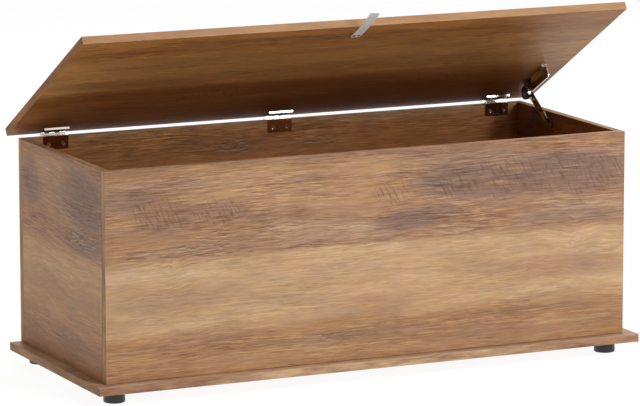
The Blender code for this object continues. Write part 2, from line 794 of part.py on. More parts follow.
def build_handle(screw, lid):
    """Make the strip handle: flat under the lid, then bent a little upwards to its tip."""
    top = LID_UNDERSIDE - SEAT_GAP
    bottom = top - HANDLE_THICKNESS
    start = LID_FRONT_REACH - HANDLE_GRIP
    bend = LID_FRONT_REACH + HANDLE_BEND_START
    sweep = (HANDLE_REACH - HANDLE_BEND_START) / HANDLE_BEND_RADIUS
    centre = (-bend, top + HANDLE_BEND_RADIUS)
    down = -QUARTER_TURN
    upper = arc(centre, HANDLE_BEND_RADIUS, down, down - sweep, HANDLE_BEND_STEPS)
    lower = arc(centre, HANDLE_BEND_RADIUS + HANDLE_THICKNESS, down - sweep, down, HANDLE_BEND_STEPS)
    outline = [(-start, bottom), (-start, top)] + upper + lower
    bm = bmesh.new()
    left = HANDLE_SHIFT - HANDLE_WIDTH / 2
    right = HANDLE_SHIFT + HANDLE_WIDTH / 2
    add_prism(bm, outline, left, right)
    ends = {min(vert.co.y for vert in bm.verts), max(vert.co.y for vert in bm.verts)}
    corners = []
    for edge in bm.edges:
        first, second = edge.verts
        same_side = first.co.x == second.co.x
        at_end = min(abs(first.co.y - y) for y in ends) < HANDLE_THICKNESS / 2
        upright = abs(first.co.z - second.co.z) > HANDLE_THICKNESS / 2
        if same_side and at_end and upright:
            corners.append(edge)
    bmesh.ops.bevel(
        bm, geom=corners, offset=HANDLE_CORNER, segments=HANDLE_CORNER_STEPS, affect="EDGES", profile=0.5
    )
    target = piece("lid_handle", bm, "brushed nickel", lid)
    holes = []
    for name, spot in zip(("left", "right"), handle_screw_places()):
        holes.append((small_screw_hole(), at(spot, FACE_DOWN), SCREW_SIDES))
        fastener("handle_screw_" + name, screw, spot, FACE_DOWN, lid)
    drill(target, holes, lid)


def build_cams():
    """Make the cam locks in the side boards and the bolts that they hold."""
    bm = bmesh.new()
    add_turned(bm, cylinder(CAM_RADIUS, -CAM_DEPTH, -CAM_SUNK), CAM_SIDES)
    cam = piece("cam", bm, "zinc")
    bm = bmesh.new()
    middle = -BOARD / 2
    pocket = cylinder(CAM_POCKET_RADIUS, -CAM_POCKET_OVERRUN, CAM_RADIUS + OVERRUN)
    add_turned(bm, pocket, BOLT_SIDES, at((0, 0, middle), FACE_FRONT))
    pocket_cutter = helper("cam pocket", bm)
    boolean(cam, pocket_cutter)
    recess = cross_cutter("cam recess", CAM_RADIUS, CAM_SUNK + OVERRUN)
    boolean(cam, recess)
    cam_mesh = finished_mesh(cam)
    bpy.data.objects.remove(pocket_cutter, do_unlink=True)
    bpy.data.objects.remove(recess, do_unlink=True)
    bolt_mesh = cam_bolt_mesh()
    for name, (centre, direction) in cam_places().items():
        inner = SIDE_INNER if centre.x > 0 else -SIDE_INNER
        inward = FACE_LEFT if centre.x > 0 else FACE_RIGHT
        face = FACE_UP if direction < 0 else Matrix.Rotation(HALF_TURN, 4, "Z")
        fastener("cam_lock_" + name, cam_mesh, (inner, centre.y, centre.z), inward @ face)
        outward = FACE_FRONT if direction < 0 else FACE_BACK
        fastener("cam_bolt_" + name, bolt_mesh, centre, outward)


def cam_bolt_mesh():
    """Make a cam bolt: its head at z = 0 in the cam, its threaded end up in the long board."""
    board_face = CAM_SETBACK
    profile = [
        (BOLT_HEAD_RADIUS, -BOLT_HEAD_LENGTH / 2),
        (BOLT_HEAD_RADIUS, BOLT_HEAD_LENGTH / 2),
        (BOLT_NECK_RADIUS, BOLT_HEAD_LENGTH),
        (BOLT_NECK_RADIUS, BOLT_NECK_LENGTH + BOLT_HEAD_LENGTH),
        (BOLT_SHANK_RADIUS, BOLT_NECK_LENGTH + BOLT_HEAD_LENGTH + FIT_GAP),
        (BOLT_SHANK_RADIUS, board_face - FIT_GAP),
        (BOLT_THREAD_RADIUS, board_face),
        (BOLT_THREAD_RADIUS, board_face + BOLT_THREAD_LENGTH),
    ]
    bm = bmesh.new()
    add_turned(bm, profile, BOLT_SIDES)
    return mesh_from(bm, "cam_bolt", "zinc")


def stay_pivot(angle):
    """Return the damper's axis from the hinge axis, as a reach and a height, at a lid angle."""
    reach = STAY_PIVOT_REACH * math.cos(angle) - STAY_PIVOT_HEIGHT * math.sin(angle)
    height = STAY_PIVOT_REACH * math.sin(angle) + STAY_PIVOT_HEIGHT * math.cos(angle)
    return reach, height


def arm_turn(angle):
    """Return how far the arm has turned down from the lid at a lid angle."""
    return STAY_ARM_CLOSED_SLOPE + STAY_ARM_TURN_RATIO * angle


def track_path(angle):
    """Return where the arm's pin lies at a lid angle, as world Y and Z.

    The arm turns about the damper at a fixed ratio to the lid's turn, and the slot follows the
    path that its pin then takes.
    """
    reach, height = stay_pivot(angle)
    slope = arm_turn(angle) - angle
    reach += STAY_ARM_LENGTH * math.cos(slope)
    height -= STAY_ARM_LENGTH * math.sin(slope)
    return Vector((AXIS_Y - reach, AXIS_Z + height))


def track_corners():
    """Return the low and high corners of the track, in Y and Z."""
    front = track_path(TRACK_TURN_ANGLE * TRACK_TURN_CENTRE_SHARE).x
    rear = track_path(LID_FULL_ANGLE).x
    top = BODY_TOP - TRACK_TOP_MARGIN
    return (front - TRACK_END_MARGIN, top - TRACK_HEIGHT), (rear + TRACK_END_MARGIN, top)


def track_outline():
    """Return the track's outline, its top front corner cut off on a slope."""
    low, high = track_corners()
    corners = [
        low,
        (high[0], low[1]),
        high,
        (low[0] + TRACK_SLOPE_LENGTH, high[1]),
        (low[0], high[1] - TRACK_SLOPE_DROP),
    ]
    return rounded_polygon(corners, TRACK_CORNER)


def slot_outline():
    """Return the outline of the slot that the arm's pin slides in."""
    half = STAY_PIN_RADIUS + TRACK_SLOT_GAP
    path = []
    for index in range(TRACK_SLOT_STEPS + 1):
        share = index / TRACK_SLOT_STEPS
        path.append(track_path(TRACK_TURN_ANGLE + (LID_FULL_ANGLE - TRACK_TURN_ANGLE) * share))
    upper = []
    lower = []
    for index, spot in enumerate(path):
        before = path[max(index - 1, 0)]
        after = path[min(index + 1, TRACK_SLOT_STEPS)]
        along = (after - before).normalized()
        across = Vector((-along.y, along.x))
        upper.append(tuple(spot + across * half))
        lower.append(tuple(spot - across * half))
    outline = list(upper)
    outline += slot_end(path[-1], upper[-1], half)
    outline += reversed(lower)
    outline += slot_end(path[0], lower[0], half)
    return outline


def slot_end(centre, start, radius):
    """Return the points of a slot's round end, after its start and before its finish."""
    angle = math.atan2(start[1] - centre.y, start[0] - centre.x)
    return arc(tuple(centre), radius, angle, angle - HALF_TURN, TRACK_SLOT_END_STEPS)[1:-1]


def bracket_screw_places():
    """Return the places of the bracket's screws in the lid frame."""
    across = BRACKET_OUTER - BRACKET_FLANGE_WIDTH / 2 - BRACKET_THICKNESS / 2
    height = LID_UNDERSIDE - SEAT_GAP - BRACKET_THICKNESS
    rear = BRACKET_FLANGE_START + BRACKET_REAR_SCREW_INSET
    front = BRACKET_FRONT_REACH - BRACKET_FRONT_SCREW_INSET
    return [(across, -rear, height), (across, -front, height)]


def build_bracket(screw, lid):
    """Make the stay's angle bracket, screwed under the lid."""
    top = LID_UNDERSIDE - SEAT_GAP
    seat = top - BRACKET_THICKNESS
    lowest = STAY_PIVOT_HEIGHT - BRACKET_LUG_RADIUS
    rear = STAY_PIVOT_REACH - BRACKET_LUG_RADIUS
    section = [
        (BRACKET_OUTER, top), (BRACKET_OUTER - BRACKET_FLANGE_WIDTH, top),
        (BRACKET_OUTER - BRACKET_FLANGE_WIDTH, seat), (BRACKET_INNER, seat),
        (BRACKET_INNER, lowest), (BRACKET_OUTER, lowest),
    ]
    bm = bmesh.new()
    add_prism(bm, section, -BRACKET_FRONT_REACH, -rear, "Y")
    target = piece("stay_lid_bracket", bm, "nickel", lid)
    lower = LID_UNDERSIDE - BRACKET_DROP
    front_end = BRACKET_FRONT_REACH
    corner = (-front_end + BRACKET_CORNER, lower + BRACKET_CORNER)
    touch = math.asin((lower - STAY_PIVOT_HEIGHT) / BRACKET_LUG_RADIUS)
    lug = (-STAY_PIVOT_REACH, STAY_PIVOT_HEIGHT)
    outside = lowest - OVERRUN
    waste = arc(corner, BRACKET_CORNER, HALF_TURN, HALF_TURN + QUARTER_TURN, CORNER_STEPS)
    waste += arc(lug, BRACKET_LUG_RADIUS, HALF_TURN - touch, TURN, 2 * CORNER_STEPS)
    waste += [
        (-rear + OVERRUN, STAY_PIVOT_HEIGHT), (-rear + OVERRUN, outside),
        (-front_end - OVERRUN, outside), (-front_end - OVERRUN, corner[1]),
    ]
    bm = bmesh.new()
    add_prism(bm, waste, BRACKET_INNER - OVERRUN, BRACKET_OUTER + OVERRUN)
    boolean(target, helper("stay_lid_bracket waste", bm, lid))
    side = BRACKET_OUTER - BRACKET_FLANGE_WIDTH
    bm = bmesh.new()
    edge = [
        (side - OVERRUN, seat - OVERRUN), (BRACKET_INNER - BRACKET_BEND, seat - OVERRUN),
        (BRACKET_INNER - BRACKET_BEND, top + OVERRUN), (side - OVERRUN, top + OVERRUN),
    ]
    add_prism(bm, edge, -BRACKET_FLANGE_START, -rear + OVERRUN, "Y")
    boolean(target, helper("stay_lid_bracket flange waste", bm, lid))
    spindle = cylinder(SPINDLE_RADIUS + FIT_GAP, BRACKET_INNER - OVERRUN, BRACKET_OUTER + OVERRUN)
    pivot = Vector((0, -STAY_PIVOT_REACH, STAY_PIVOT_HEIGHT))
    holes = [(spindle, at(pivot, FACE_RIGHT), STAY_ROUND_SIDES)]
    for number, spot in enumerate(bracket_screw_places(), start=1):
        holes.append((small_screw_hole(), at(spot, FACE_DOWN), SCREW_SIDES))
        fastener(f"stay_lid_screw_{number}", screw, spot, FACE_DOWN, lid)
    drill(target, holes, lid)


def build_damper(lid):
    """Make the damper drum and the spindle that the arm turns on."""
    bm = bmesh.new()
    profile = [
        (0.0, DAMPER_INNER + DAMPER_DISH_DEPTH),
        (DAMPER_DISH_RADIUS, DAMPER_INNER + DAMPER_DISH_DEPTH),
        (DAMPER_DISH_RADIUS, DAMPER_INNER),
        (DAMPER_RADIUS - DAMPER_EDGE, DAMPER_INNER),
        (DAMPER_RADIUS, DAMPER_INNER + DAMPER_EDGE),
        (DAMPER_RADIUS, DAMPER_OUTER - DAMPER_EDGE),
        (DAMPER_RADIUS - DAMPER_EDGE, DAMPER_OUTER),
        (SPINDLE_RADIUS, DAMPER_OUTER),
        (SPINDLE_RADIUS, ARM_OUTER),
        (0.0, ARM_OUTER),
    ]
    add_turned(bm, profile, STAY_ROUND_SIDES, FACE_RIGHT)
    target = piece("stay_damper", bm, "dark cap", lid, math.radians(40))
    target.location = (0, -STAY_PIVOT_REACH, STAY_PIVOT_HEIGHT)


def build_arm(lid):
    """Make the stay's arm and its pin, which turn on the damper's spindle."""
    pivot = bpy.data.objects.new("stay_arm_pivot", None)
    place(pivot, lid, (0, -STAY_PIVOT_REACH, STAY_PIVOT_HEIGHT))
    pivot.rotation_euler = (arm_turn(LID_REST_ANGLE), 0, 0)
    lean = math.asin((STAY_ARM_HEAD_RADIUS - STAY_ARM_TAIL_RADIUS) / STAY_ARM_LENGTH)
    tail = (-STAY_ARM_LENGTH, 0.0)
    outline = arc((0.0, 0.0), STAY_ARM_HEAD_RADIUS, -QUARTER_TURN - lean, QUARTER_TURN + lean, 2 * CORNER_STEPS)
    outline += arc(tail, STAY_ARM_TAIL_RADIUS, QUARTER_TURN + lean, HALF_TURN + QUARTER_TURN - lean, 2 * CORNER_STEPS)
    bm = bmesh.new()
    add_prism(bm, outline, ARM_INNER, ARM_OUTER)
    target = piece("stay_arm", bm, "nickel", pivot)
    low = ARM_INNER - OVERRUN
    high = ARM_OUTER + OVERRUN
    spindle = cylinder(SPINDLE_RADIUS + FIT_GAP, low, high)
    length = SIDE_INNER - STAY_PIN_STANDOFF - ARM_INNER
    pin_hole = screw_hole_profile(STAY_PIN_HEAD_RADIUS, STAY_PIN_HEAD, STAY_PIN_RADIUS, length)
    pin_place = at((ARM_INNER, -STAY_ARM_LENGTH, 0), FACE_LEFT)
    holes = [
        (spindle, FACE_RIGHT, STAY_ROUND_SIDES),
        (pin_hole, pin_place, STAY_PIN_SIDES),
    ]
    drill(target, holes, pivot)
    bm = bmesh.new()
    profile = [
        (STAY_PIN_HEAD_RADIUS, 0.0),
        (STAY_PIN_RADIUS, -STAY_PIN_HEAD),
        (STAY_PIN_RADIUS, -length),
    ]
    add_turned(bm, profile, STAY_PIN_SIDES)
    pin = piece("stay_pin", bm, "nickel", pivot)
    pin.matrix_local = pin_place


def build_track(screw):
    """Make the slotted track on the right side board, in which the arm's pin slides.

    The slot ends in a wider round, where the pin turns back as the lid comes down.
    """
    bm = bmesh.new()
    add_prism(bm, track_outline(), TRACK_INNER, TRACK_OUTER)
    target = piece("stay_track_plate", bm, "nickel")
    bm = bmesh.new()
    add_prism(bm, slot_outline(), TRACK_INNER - OVERRUN, TRACK_OUTER + OVERRUN)
    boolean(target, helper("stay_track_plate slot", bm))
    turn = track_path(TRACK_TURN_ANGLE * TRACK_TURN_CENTRE_SHARE)
    radius = STAY_PIN_RADIUS + TRACK_SLOT_GAP + TRACK_TURN_EASE
    profile = cylinder(radius, TRACK_INNER - OVERRUN, TRACK_OUTER + OVERRUN)
    holes = [(profile, at((0, turn.x, turn.y), FACE_RIGHT), STAY_PIN_SIDES)]
    for number, spot in enumerate(track_screw_places(), start=1):
        holes.append((small_screw_hole(), at(spot, FACE_LEFT), SCREW_SIDES))
        fastener(f"stay_side_screw_{number}", screw, spot, FACE_LEFT)
    drill(target, holes)


def build_base_screws():
    """Make the screws that hold the front and back boards down on the base."""
    mesh = screw_mesh(
        "base_screw", BASE_SCREW_HEAD_RADIUS, BASE_SCREW_HEAD_DEPTH,
        BASE_SCREW_SHANK_RADIUS, BASE_SCREW_LENGTH,
    )
    for name, (x, y) in base_screw_places().items():
        fastener("base_screw_" + name, mesh, (x, y, FOOT_HEIGHT + SEAT_GAP), FACE_DOWN)


def main():
    """Build the whole box."""
    clear_scene()
    lid = bpy.data.objects.new("lid_pivot", None)
    place(lid, None, (0, AXIS_Y, AXIS_Z))
    lid.rotation_euler = (-LID_REST_ANGLE, 0, 0)
    small_screw = screw_mesh(
        "small_screw", SCREW_HEAD_RADIUS, SCREW_HEAD_DEPTH, SCREW_SHANK_RADIUS, SCREW_LENGTH
    )
    foot_screw = screw_mesh(
        "foot_screw", FOOT_SCREW_HEAD_RADIUS, FOOT_SCREW_HEAD_DEPTH,
        FOOT_SCREW_SHANK_RADIUS, FOOT_SCREW_LENGTH,
    )
    build_base()
    build_long_boards()
    build_side_boards()
    build_feet(foot_screw)
    build_base_screws()
    build_cams()
    build_lid(lid)
    build_hinges(small_screw, lid)
    build_handle(small_screw, lid)
    build_bracket(small_screw, lid)
    build_damper(lid)
    build_arm(lid)
    build_track(small_screw)


main()
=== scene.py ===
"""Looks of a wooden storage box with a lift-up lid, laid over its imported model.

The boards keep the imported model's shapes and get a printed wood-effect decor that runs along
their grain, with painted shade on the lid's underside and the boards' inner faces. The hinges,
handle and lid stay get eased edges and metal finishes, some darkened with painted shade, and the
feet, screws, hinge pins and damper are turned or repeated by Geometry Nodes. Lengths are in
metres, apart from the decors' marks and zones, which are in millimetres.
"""

import json
import logging
import math
from collections.abc import Callable, Iterable, Sequence
from dataclasses import dataclass, field, replace
from enum import Enum
from functools import cache, reduce

import bmesh
import bpy
from bpy.types import Material, Mesh, Node, NodeSocket, Object
from mathutils import Matrix, Vector


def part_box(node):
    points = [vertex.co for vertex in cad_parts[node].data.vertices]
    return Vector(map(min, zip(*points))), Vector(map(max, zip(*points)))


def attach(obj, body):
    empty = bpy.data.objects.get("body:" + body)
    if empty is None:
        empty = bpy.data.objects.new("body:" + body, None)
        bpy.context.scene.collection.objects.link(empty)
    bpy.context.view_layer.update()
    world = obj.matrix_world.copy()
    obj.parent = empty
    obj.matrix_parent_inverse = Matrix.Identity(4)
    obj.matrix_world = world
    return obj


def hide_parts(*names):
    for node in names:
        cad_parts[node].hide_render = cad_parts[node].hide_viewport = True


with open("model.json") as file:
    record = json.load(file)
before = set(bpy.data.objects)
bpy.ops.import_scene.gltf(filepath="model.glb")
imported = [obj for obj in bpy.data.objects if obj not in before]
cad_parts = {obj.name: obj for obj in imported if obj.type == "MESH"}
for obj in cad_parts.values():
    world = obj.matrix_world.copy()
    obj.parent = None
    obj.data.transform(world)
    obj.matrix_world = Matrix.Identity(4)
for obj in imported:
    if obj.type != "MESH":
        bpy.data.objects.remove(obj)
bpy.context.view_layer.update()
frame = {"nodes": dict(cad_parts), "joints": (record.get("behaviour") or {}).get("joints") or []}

logging.basicConfig(level=logging.INFO, format="%(message)s")
LOG = logging.getLogger("storage box")

Colour = tuple[float, float, float]
Outline = Sequence[tuple[float, float]]

GRAIN_MAP = "Grain"
TURN_ATTRIBUTE = "turn"
PER_METRE = 1000
MERGE_DISTANCE = 1e-6
FLAT_ANGLE = math.radians(0.4)
SMOOTH_ANGLE = math.radians(35)
QUARTER_TURN = math.pi / 2
WHITE = (1.0, 1.0, 1.0)
HINGE_SIDES = ("left", "middle", "right")
CORNERS = ("front_left", "front_right", "rear_left", "rear_right")


class Axis(Enum):
    """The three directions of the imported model's frame."""

    X = 0
    Y = 1
    Z = 2


class Body(Enum):
    """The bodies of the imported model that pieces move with."""

    BOX = "box"
    LID = "lid"
    LINK = "stay_link"


class Slot(Enum):
    """The record's material slots."""

    BOARD = "wood_effect_board"
    PLASTIC = "black_plastic"
    NICKEL = "nickel"
    BRUSHED = "brushed_nickel"
    SCREW = "screw_steel"
    CAP = "dark_cap"


# ---- node graphs


def _operator(operation: str, swapped: bool = False) -> Callable[["Value", "Value | float"], "Value"]:
    """Return a method of Value that adds a Math node, with its operands swapped or not."""
    step = -1 if swapped else 1
    return lambda value, other: value.graph.maths(operation, *(value, other)[::step])


class Value:
    """A node's output, whose operators add Math nodes."""

    __add__ = __radd__ = _operator("ADD")
    __mul__ = __rmul__ = _operator("MULTIPLY")
    __sub__ = _operator("SUBTRACT")
    __rsub__ = _operator("SUBTRACT", swapped=True)
    __truediv__ = _operator("DIVIDE")
    largest = _operator("MAXIMUM")
    smallest = _operator("MINIMUM")

    def __init__(self, graph: "Graph", socket: NodeSocket) -> None:
        """Wrap a socket of a graph."""
        self.graph = graph
        self.socket = socket

    def size(self) -> "Value":
        """Return the number without its sign."""
        return self.graph.maths("ABSOLUTE", self)

    def above(self, edge: "Value | float", softness: float) -> "Value":
        """Return a mask that rises from 0 to 1 around an edge, over a width."""
        return self.graph.maths("ADD", (self - edge) / softness, 0.5, clamp=True)

    def near(self, line: "Value | float", width: float) -> "Value":
        """Return 1 on a line, fading to 0 at a distance."""
        return self.graph.maths("SUBTRACT", 1.0, (self - line).size() / width, clamp=True)


Input = Value | NodeSocket | bpy.types.ID | float | int | str | Sequence[float]


class Graph:
    """A node tree that is being drawn up."""

    def __init__(self, tree: bpy.types.NodeTree) -> None:
        """Start from an empty tree."""
        self.tree = tree
        tree.nodes.clear()

    def node(self, kind: str, **given: object) -> Node:
        """Add a node.

        Args:
            kind: Node type.
            given: First the node's properties, in lower case, where stops gives a colour ramp its
                places and colours. Then values or links of its inputs, with a capital and with
                underscores for blanks.

        Returns:
            The node.
        """
        node = self.tree.nodes.new(kind)
        for name, value in given.items():
            if name == "stops":
                self._set_stops(node.color_ramp, value)
            elif name[0].islower():
                setattr(node, name, value)
            else:
                self.feed(self._found(node.inputs, name.replace("_", " ")), value)
        return node

    def made(self, kind: str, **given: object) -> Value:
        """Add a node, given as in node, and return its first output."""
        return Value(self, self.node(kind, **given).outputs[0])

    @staticmethod
    def _found(sockets: Iterable[NodeSocket], name: str) -> NodeSocket:
        """Return a socket that is in use, by name."""
        return next(entry for entry in sockets if entry.enabled and entry.name == name)

    @staticmethod
    def _set_stops(ramp: bpy.types.ColorRamp, stops: Sequence[tuple[float, Colour]]) -> None:
        """Give a colour ramp its stops."""
        while len(ramp.elements) < len(stops):
            ramp.elements.new(1.0)
        for element, (place, colour) in zip(ramp.elements, stops):
            element.position = place
            element.color = (*colour, 1.0)

    def feed(self, socket: NodeSocket, value: Input) -> None:
        """Link a socket to an output, or set its value.

        Args:
            socket: The input.
            value: An output to link, or a plain value.
        """
        if isinstance(value, Value):
            value = value.socket
        if isinstance(value, NodeSocket):
            self.tree.links.new(value, socket)
        elif socket.type == "RGBA" and len(value) == 3:
            socket.default_value = (*value, 1.0)
        else:
            socket.default_value = value

    def output(self, node: Node, name: str) -> Value:
        """Return a node's output by name."""
        return Value(self, self._found(node.outputs, name))

    def maths(self, operation: str, first: Input, second: Input = 0.0, clamp: bool = False) -> Value:
        """Add a Math node and return its result, kept between 0 and 1 or not."""
        return self.pair("ShaderNodeMath", first, second, operation=operation, use_clamp=clamp)

    def times(self, first: Input, second: Input) -> Value:
        """Return the product of two vectors or colours, part by part."""
        return self.pair("ShaderNodeVectorMath", first, second, operation="MULTIPLY")

    def pair(self, kind: str, first: Input, second: Input, **settings: object) -> Value:
        """Add a node that makes one output of its first two inputs."""
        node = self.node(kind, **settings)
        self.feed(node.inputs[0], first)
        self.feed(node.inputs[1], second)
        return Value(self, node.outputs[0])

    def join(self, x: Input = 0.0, y: Input = 0.0, z: Input = 0.0) -> Value:
        """Return a vector of three numbers."""
        return self.made("ShaderNodeCombineXYZ", X=x, Y=y, Z=z)

    def split(self, vector: Input) -> tuple[Value, ...]:
        """Return a vector's three numbers."""
        return tuple(Value(self, part) for part in self.node("ShaderNodeSeparateXYZ", Vector=vector).outputs)

    def scaled(self, vector: Input, share: Input) -> Value:
        """Return a vector or colour times a number."""
        return self.made("ShaderNodeVectorMath", operation="SCALE", Vector=vector, Scale=share)

    def blend(self, low: Input, high: Input, share: Input) -> Value:
        """Return a mixture of two colours, with a share of the second."""
        node = self.node("ShaderNodeMix", data_type="RGBA", Factor=share, A=low, B=high)
        return self.output(node, "Result")

    def noise(self, place: Input, detail: float, roughness: float = 0.6, distortion: float = 0.0) -> Value:
        """Return fractal noise around zero, at a place in grains of the noise."""
        return self.made(
            "ShaderNodeTexNoise",
            Vector=place, Scale=1.0, Detail=detail, Roughness=roughness, Distortion=distortion,
        ) - 0.5


class Surface(Graph):
    """The node tree of one material, with its Principled shader."""

    def __init__(self, name: str) -> None:
        """Make the material and its shader."""
        self.material = bpy.data.materials.new(name)
        self.material.use_nodes = True
        super().__init__(self.material.node_tree)
        self.shader = self.node("ShaderNodeBsdfPrincipled")
        self.node("ShaderNodeOutputMaterial", Surface=self.shader.outputs[0])

    def dress(self, **inputs: Input) -> Material:
        """Set the shader's inputs, named with underscores for blanks, and return the material."""
        for name, value in inputs.items():
            self.feed(self.shader.inputs[name.replace("_", " ")], value)
        return self.material

    def relief(self, height: Value, distance: float, strength: float) -> Value:
        """Return the normal of a bumpy surface, whose height of 1 stands for a distance."""
        return self.made("ShaderNodeBump", Strength=strength, Distance=distance, Height=height)

    def object_place(self) -> Value:
        """Return the place on the piece, in metres."""
        return self.output(self.node("ShaderNodeTexCoord"), "Object")

    def grain_place(self) -> tuple[Value, ...]:
        """Return the place on the board's grain map, in metres along and across the grain."""
        return self.split(self.made("ShaderNodeUVMap", uv_map=GRAIN_MAP))[:2]


# ---- finishes


class Tint(Enum):
    """Colours that are printed on the decor; on the lid's underside, chestnut and coffee also paint shade."""

    SMOKE = (0.235, 0.142, 0.107)
    DUSK = (0.270, 0.158, 0.112)
    UMBER = (0.318, 0.172, 0.100)
    RUST = (0.405, 0.213, 0.106)
    CLAY = (0.405, 0.232, 0.136)
    HONEY = (0.462, 0.268, 0.138)
    SAND = (0.535, 0.332, 0.180)
    PALE = (0.590, 0.385, 0.222)
    BARK = (0.215, 0.118, 0.075)
    AMBER = (0.440, 0.232, 0.111)
    FAWN = (0.425, 0.266, 0.170)
    CHESTNUT = (0.290, 0.128, 0.046)
    COFFEE = (0.205, 0.080, 0.018)
    ASH = (0.460, 0.325, 0.250)
    LIP = (0.72, 0.52, 0.35)
    PORE = (0.115, 0.062, 0.040)


@dataclass(frozen=True)
class Figure:
    """Noise at one scale of a print, in changes per metre along and across the grain."""

    along: float
    across: float
    layer: float
    detail: float = 3.0
    roughness: float = 0.6
    weight: float = 1.0
    distortion: float = 0.0

    def draw(self, along: Value, across: Value, layer: Value | float = 0.0, drift: float = 0.0) -> Value:
        """Return the noise around zero, cut at a layer and pushed along by a drift."""
        place = along.graph.join(along * self.along + drift, across * self.across, layer + self.layer)
        return along.graph.noise(place, self.detail, self.roughness, self.distortion)


# What stirs the print, then its streaks, each much longer along the grain than across it.
WANDER = Figure(5.0, 16.0, 0.0, roughness=0.55)
SWAY = Figure(3.0, 3.0, 9.0, 1.0, 0.55)
RIPPLE = Figure(28.0, 60.0, 4.0, 2.0, 0.55)
BEND = Figure(11.0, 13.0, 21.0, 1.0, 0.55)
RAGGED = Figure(22.0, 46.0, 15.0, 2.0, 0.55)
BROAD = Figure(3.2, 34.0, 0.0, 4.0, 0.62, weight=0.82)
STREAK = Figure(7.0, 115.0, 2.0, weight=0.50)
LINE = Figure(9.5, 225.0, 5.0, roughness=0.65, weight=0.92)
FIBRE = Figure(25.0, 410.0, 3.0, 2.0, weight=1.45)
BLOTCH = Figure(9.0, 22.0, 6.0, weight=0.52)
MOOD = Figure(5.0, 26.0, 8.0)
CAST = Figure(10.0, 40.0, 9.0)
PORE = Figure(48.0, 820.0, 11.0, 2.0, 0.5)
TICK = Figure(38.0, 235.0, 13.0)
CRACK = Figure(42.0, 270.0, 17.0, distortion=0.5)
EDGE_STREAK = Figure(14.0, 75.0, 1.7, 4.0, weight=1.75)
EDGE_FIBRE = Figure(26.0, 340.0, 4.1, weight=1.10)
EDGE_BLOTCH = Figure(3.0, 14.0, 8.3, 2.0, 0.55)

# Where along the boards the planks' seam sharpens, with the width of that change, then shifts,
# widths and shares of the print.
SEAM_FADE = (0.55, 0.40)
SEAM_WIDTH = 0.0022
SEAM_SHADE = 0.0009
PLANK_SHIFT = 1.9
PLANK_LAYER = 5.0
SEED_DRIFT = 3.7
MOOD_DRIFT = 3.1
EDGE_DRIFT = 2.0
LIP_SHIFT = 0.0026
TICK_SLANT = math.radians(-62.0)
MARK_REACH = 1.6
RUDDY = 1.22


@dataclass(frozen=True)
class Mark:
    """A soft-edged place on a decor, in metres along and across the grain."""

    along: float
    across: float
    half_length: float
    half_height: float
    strength: float = 1.0
    tint: Tint | None = None
    tilt: float = 0.0

    def mask(self, place: Value, ragged: Value) -> Value:
        """Return the mark's mask.

        Args:
            place: Place on the decor.
            ragged: How far the mask's edge is broken, around zero.

        Returns:
            The mask, up to the mark's strength.
        """
        local = place.graph.made(
            "ShaderNodeMapping", vector_type="TEXTURE", Vector=place, Location=(self.along, self.across, 0.0),
            Rotation=(0.0, 0.0, math.radians(self.tilt)),
            Scale=(self.half_length * MARK_REACH, self.half_height * MARK_REACH, 1.0),
        )
        ball = place.graph.node("ShaderNodeTexGradient", gradient_type="SPHERICAL", Vector=local)
        fade = Value(place.graph, ball.outputs[-1])
        return (fade * (1.0 + ragged)).above(0.30, 0.42) * self.strength


def marks(*rows: tuple) -> tuple[Mark, ...]:
    """Return marks from rows that give their places and half sizes in millimetres."""
    return tuple(Mark(*(size / PER_METRE for size in row[:4]), *row[4:]) for row in rows)


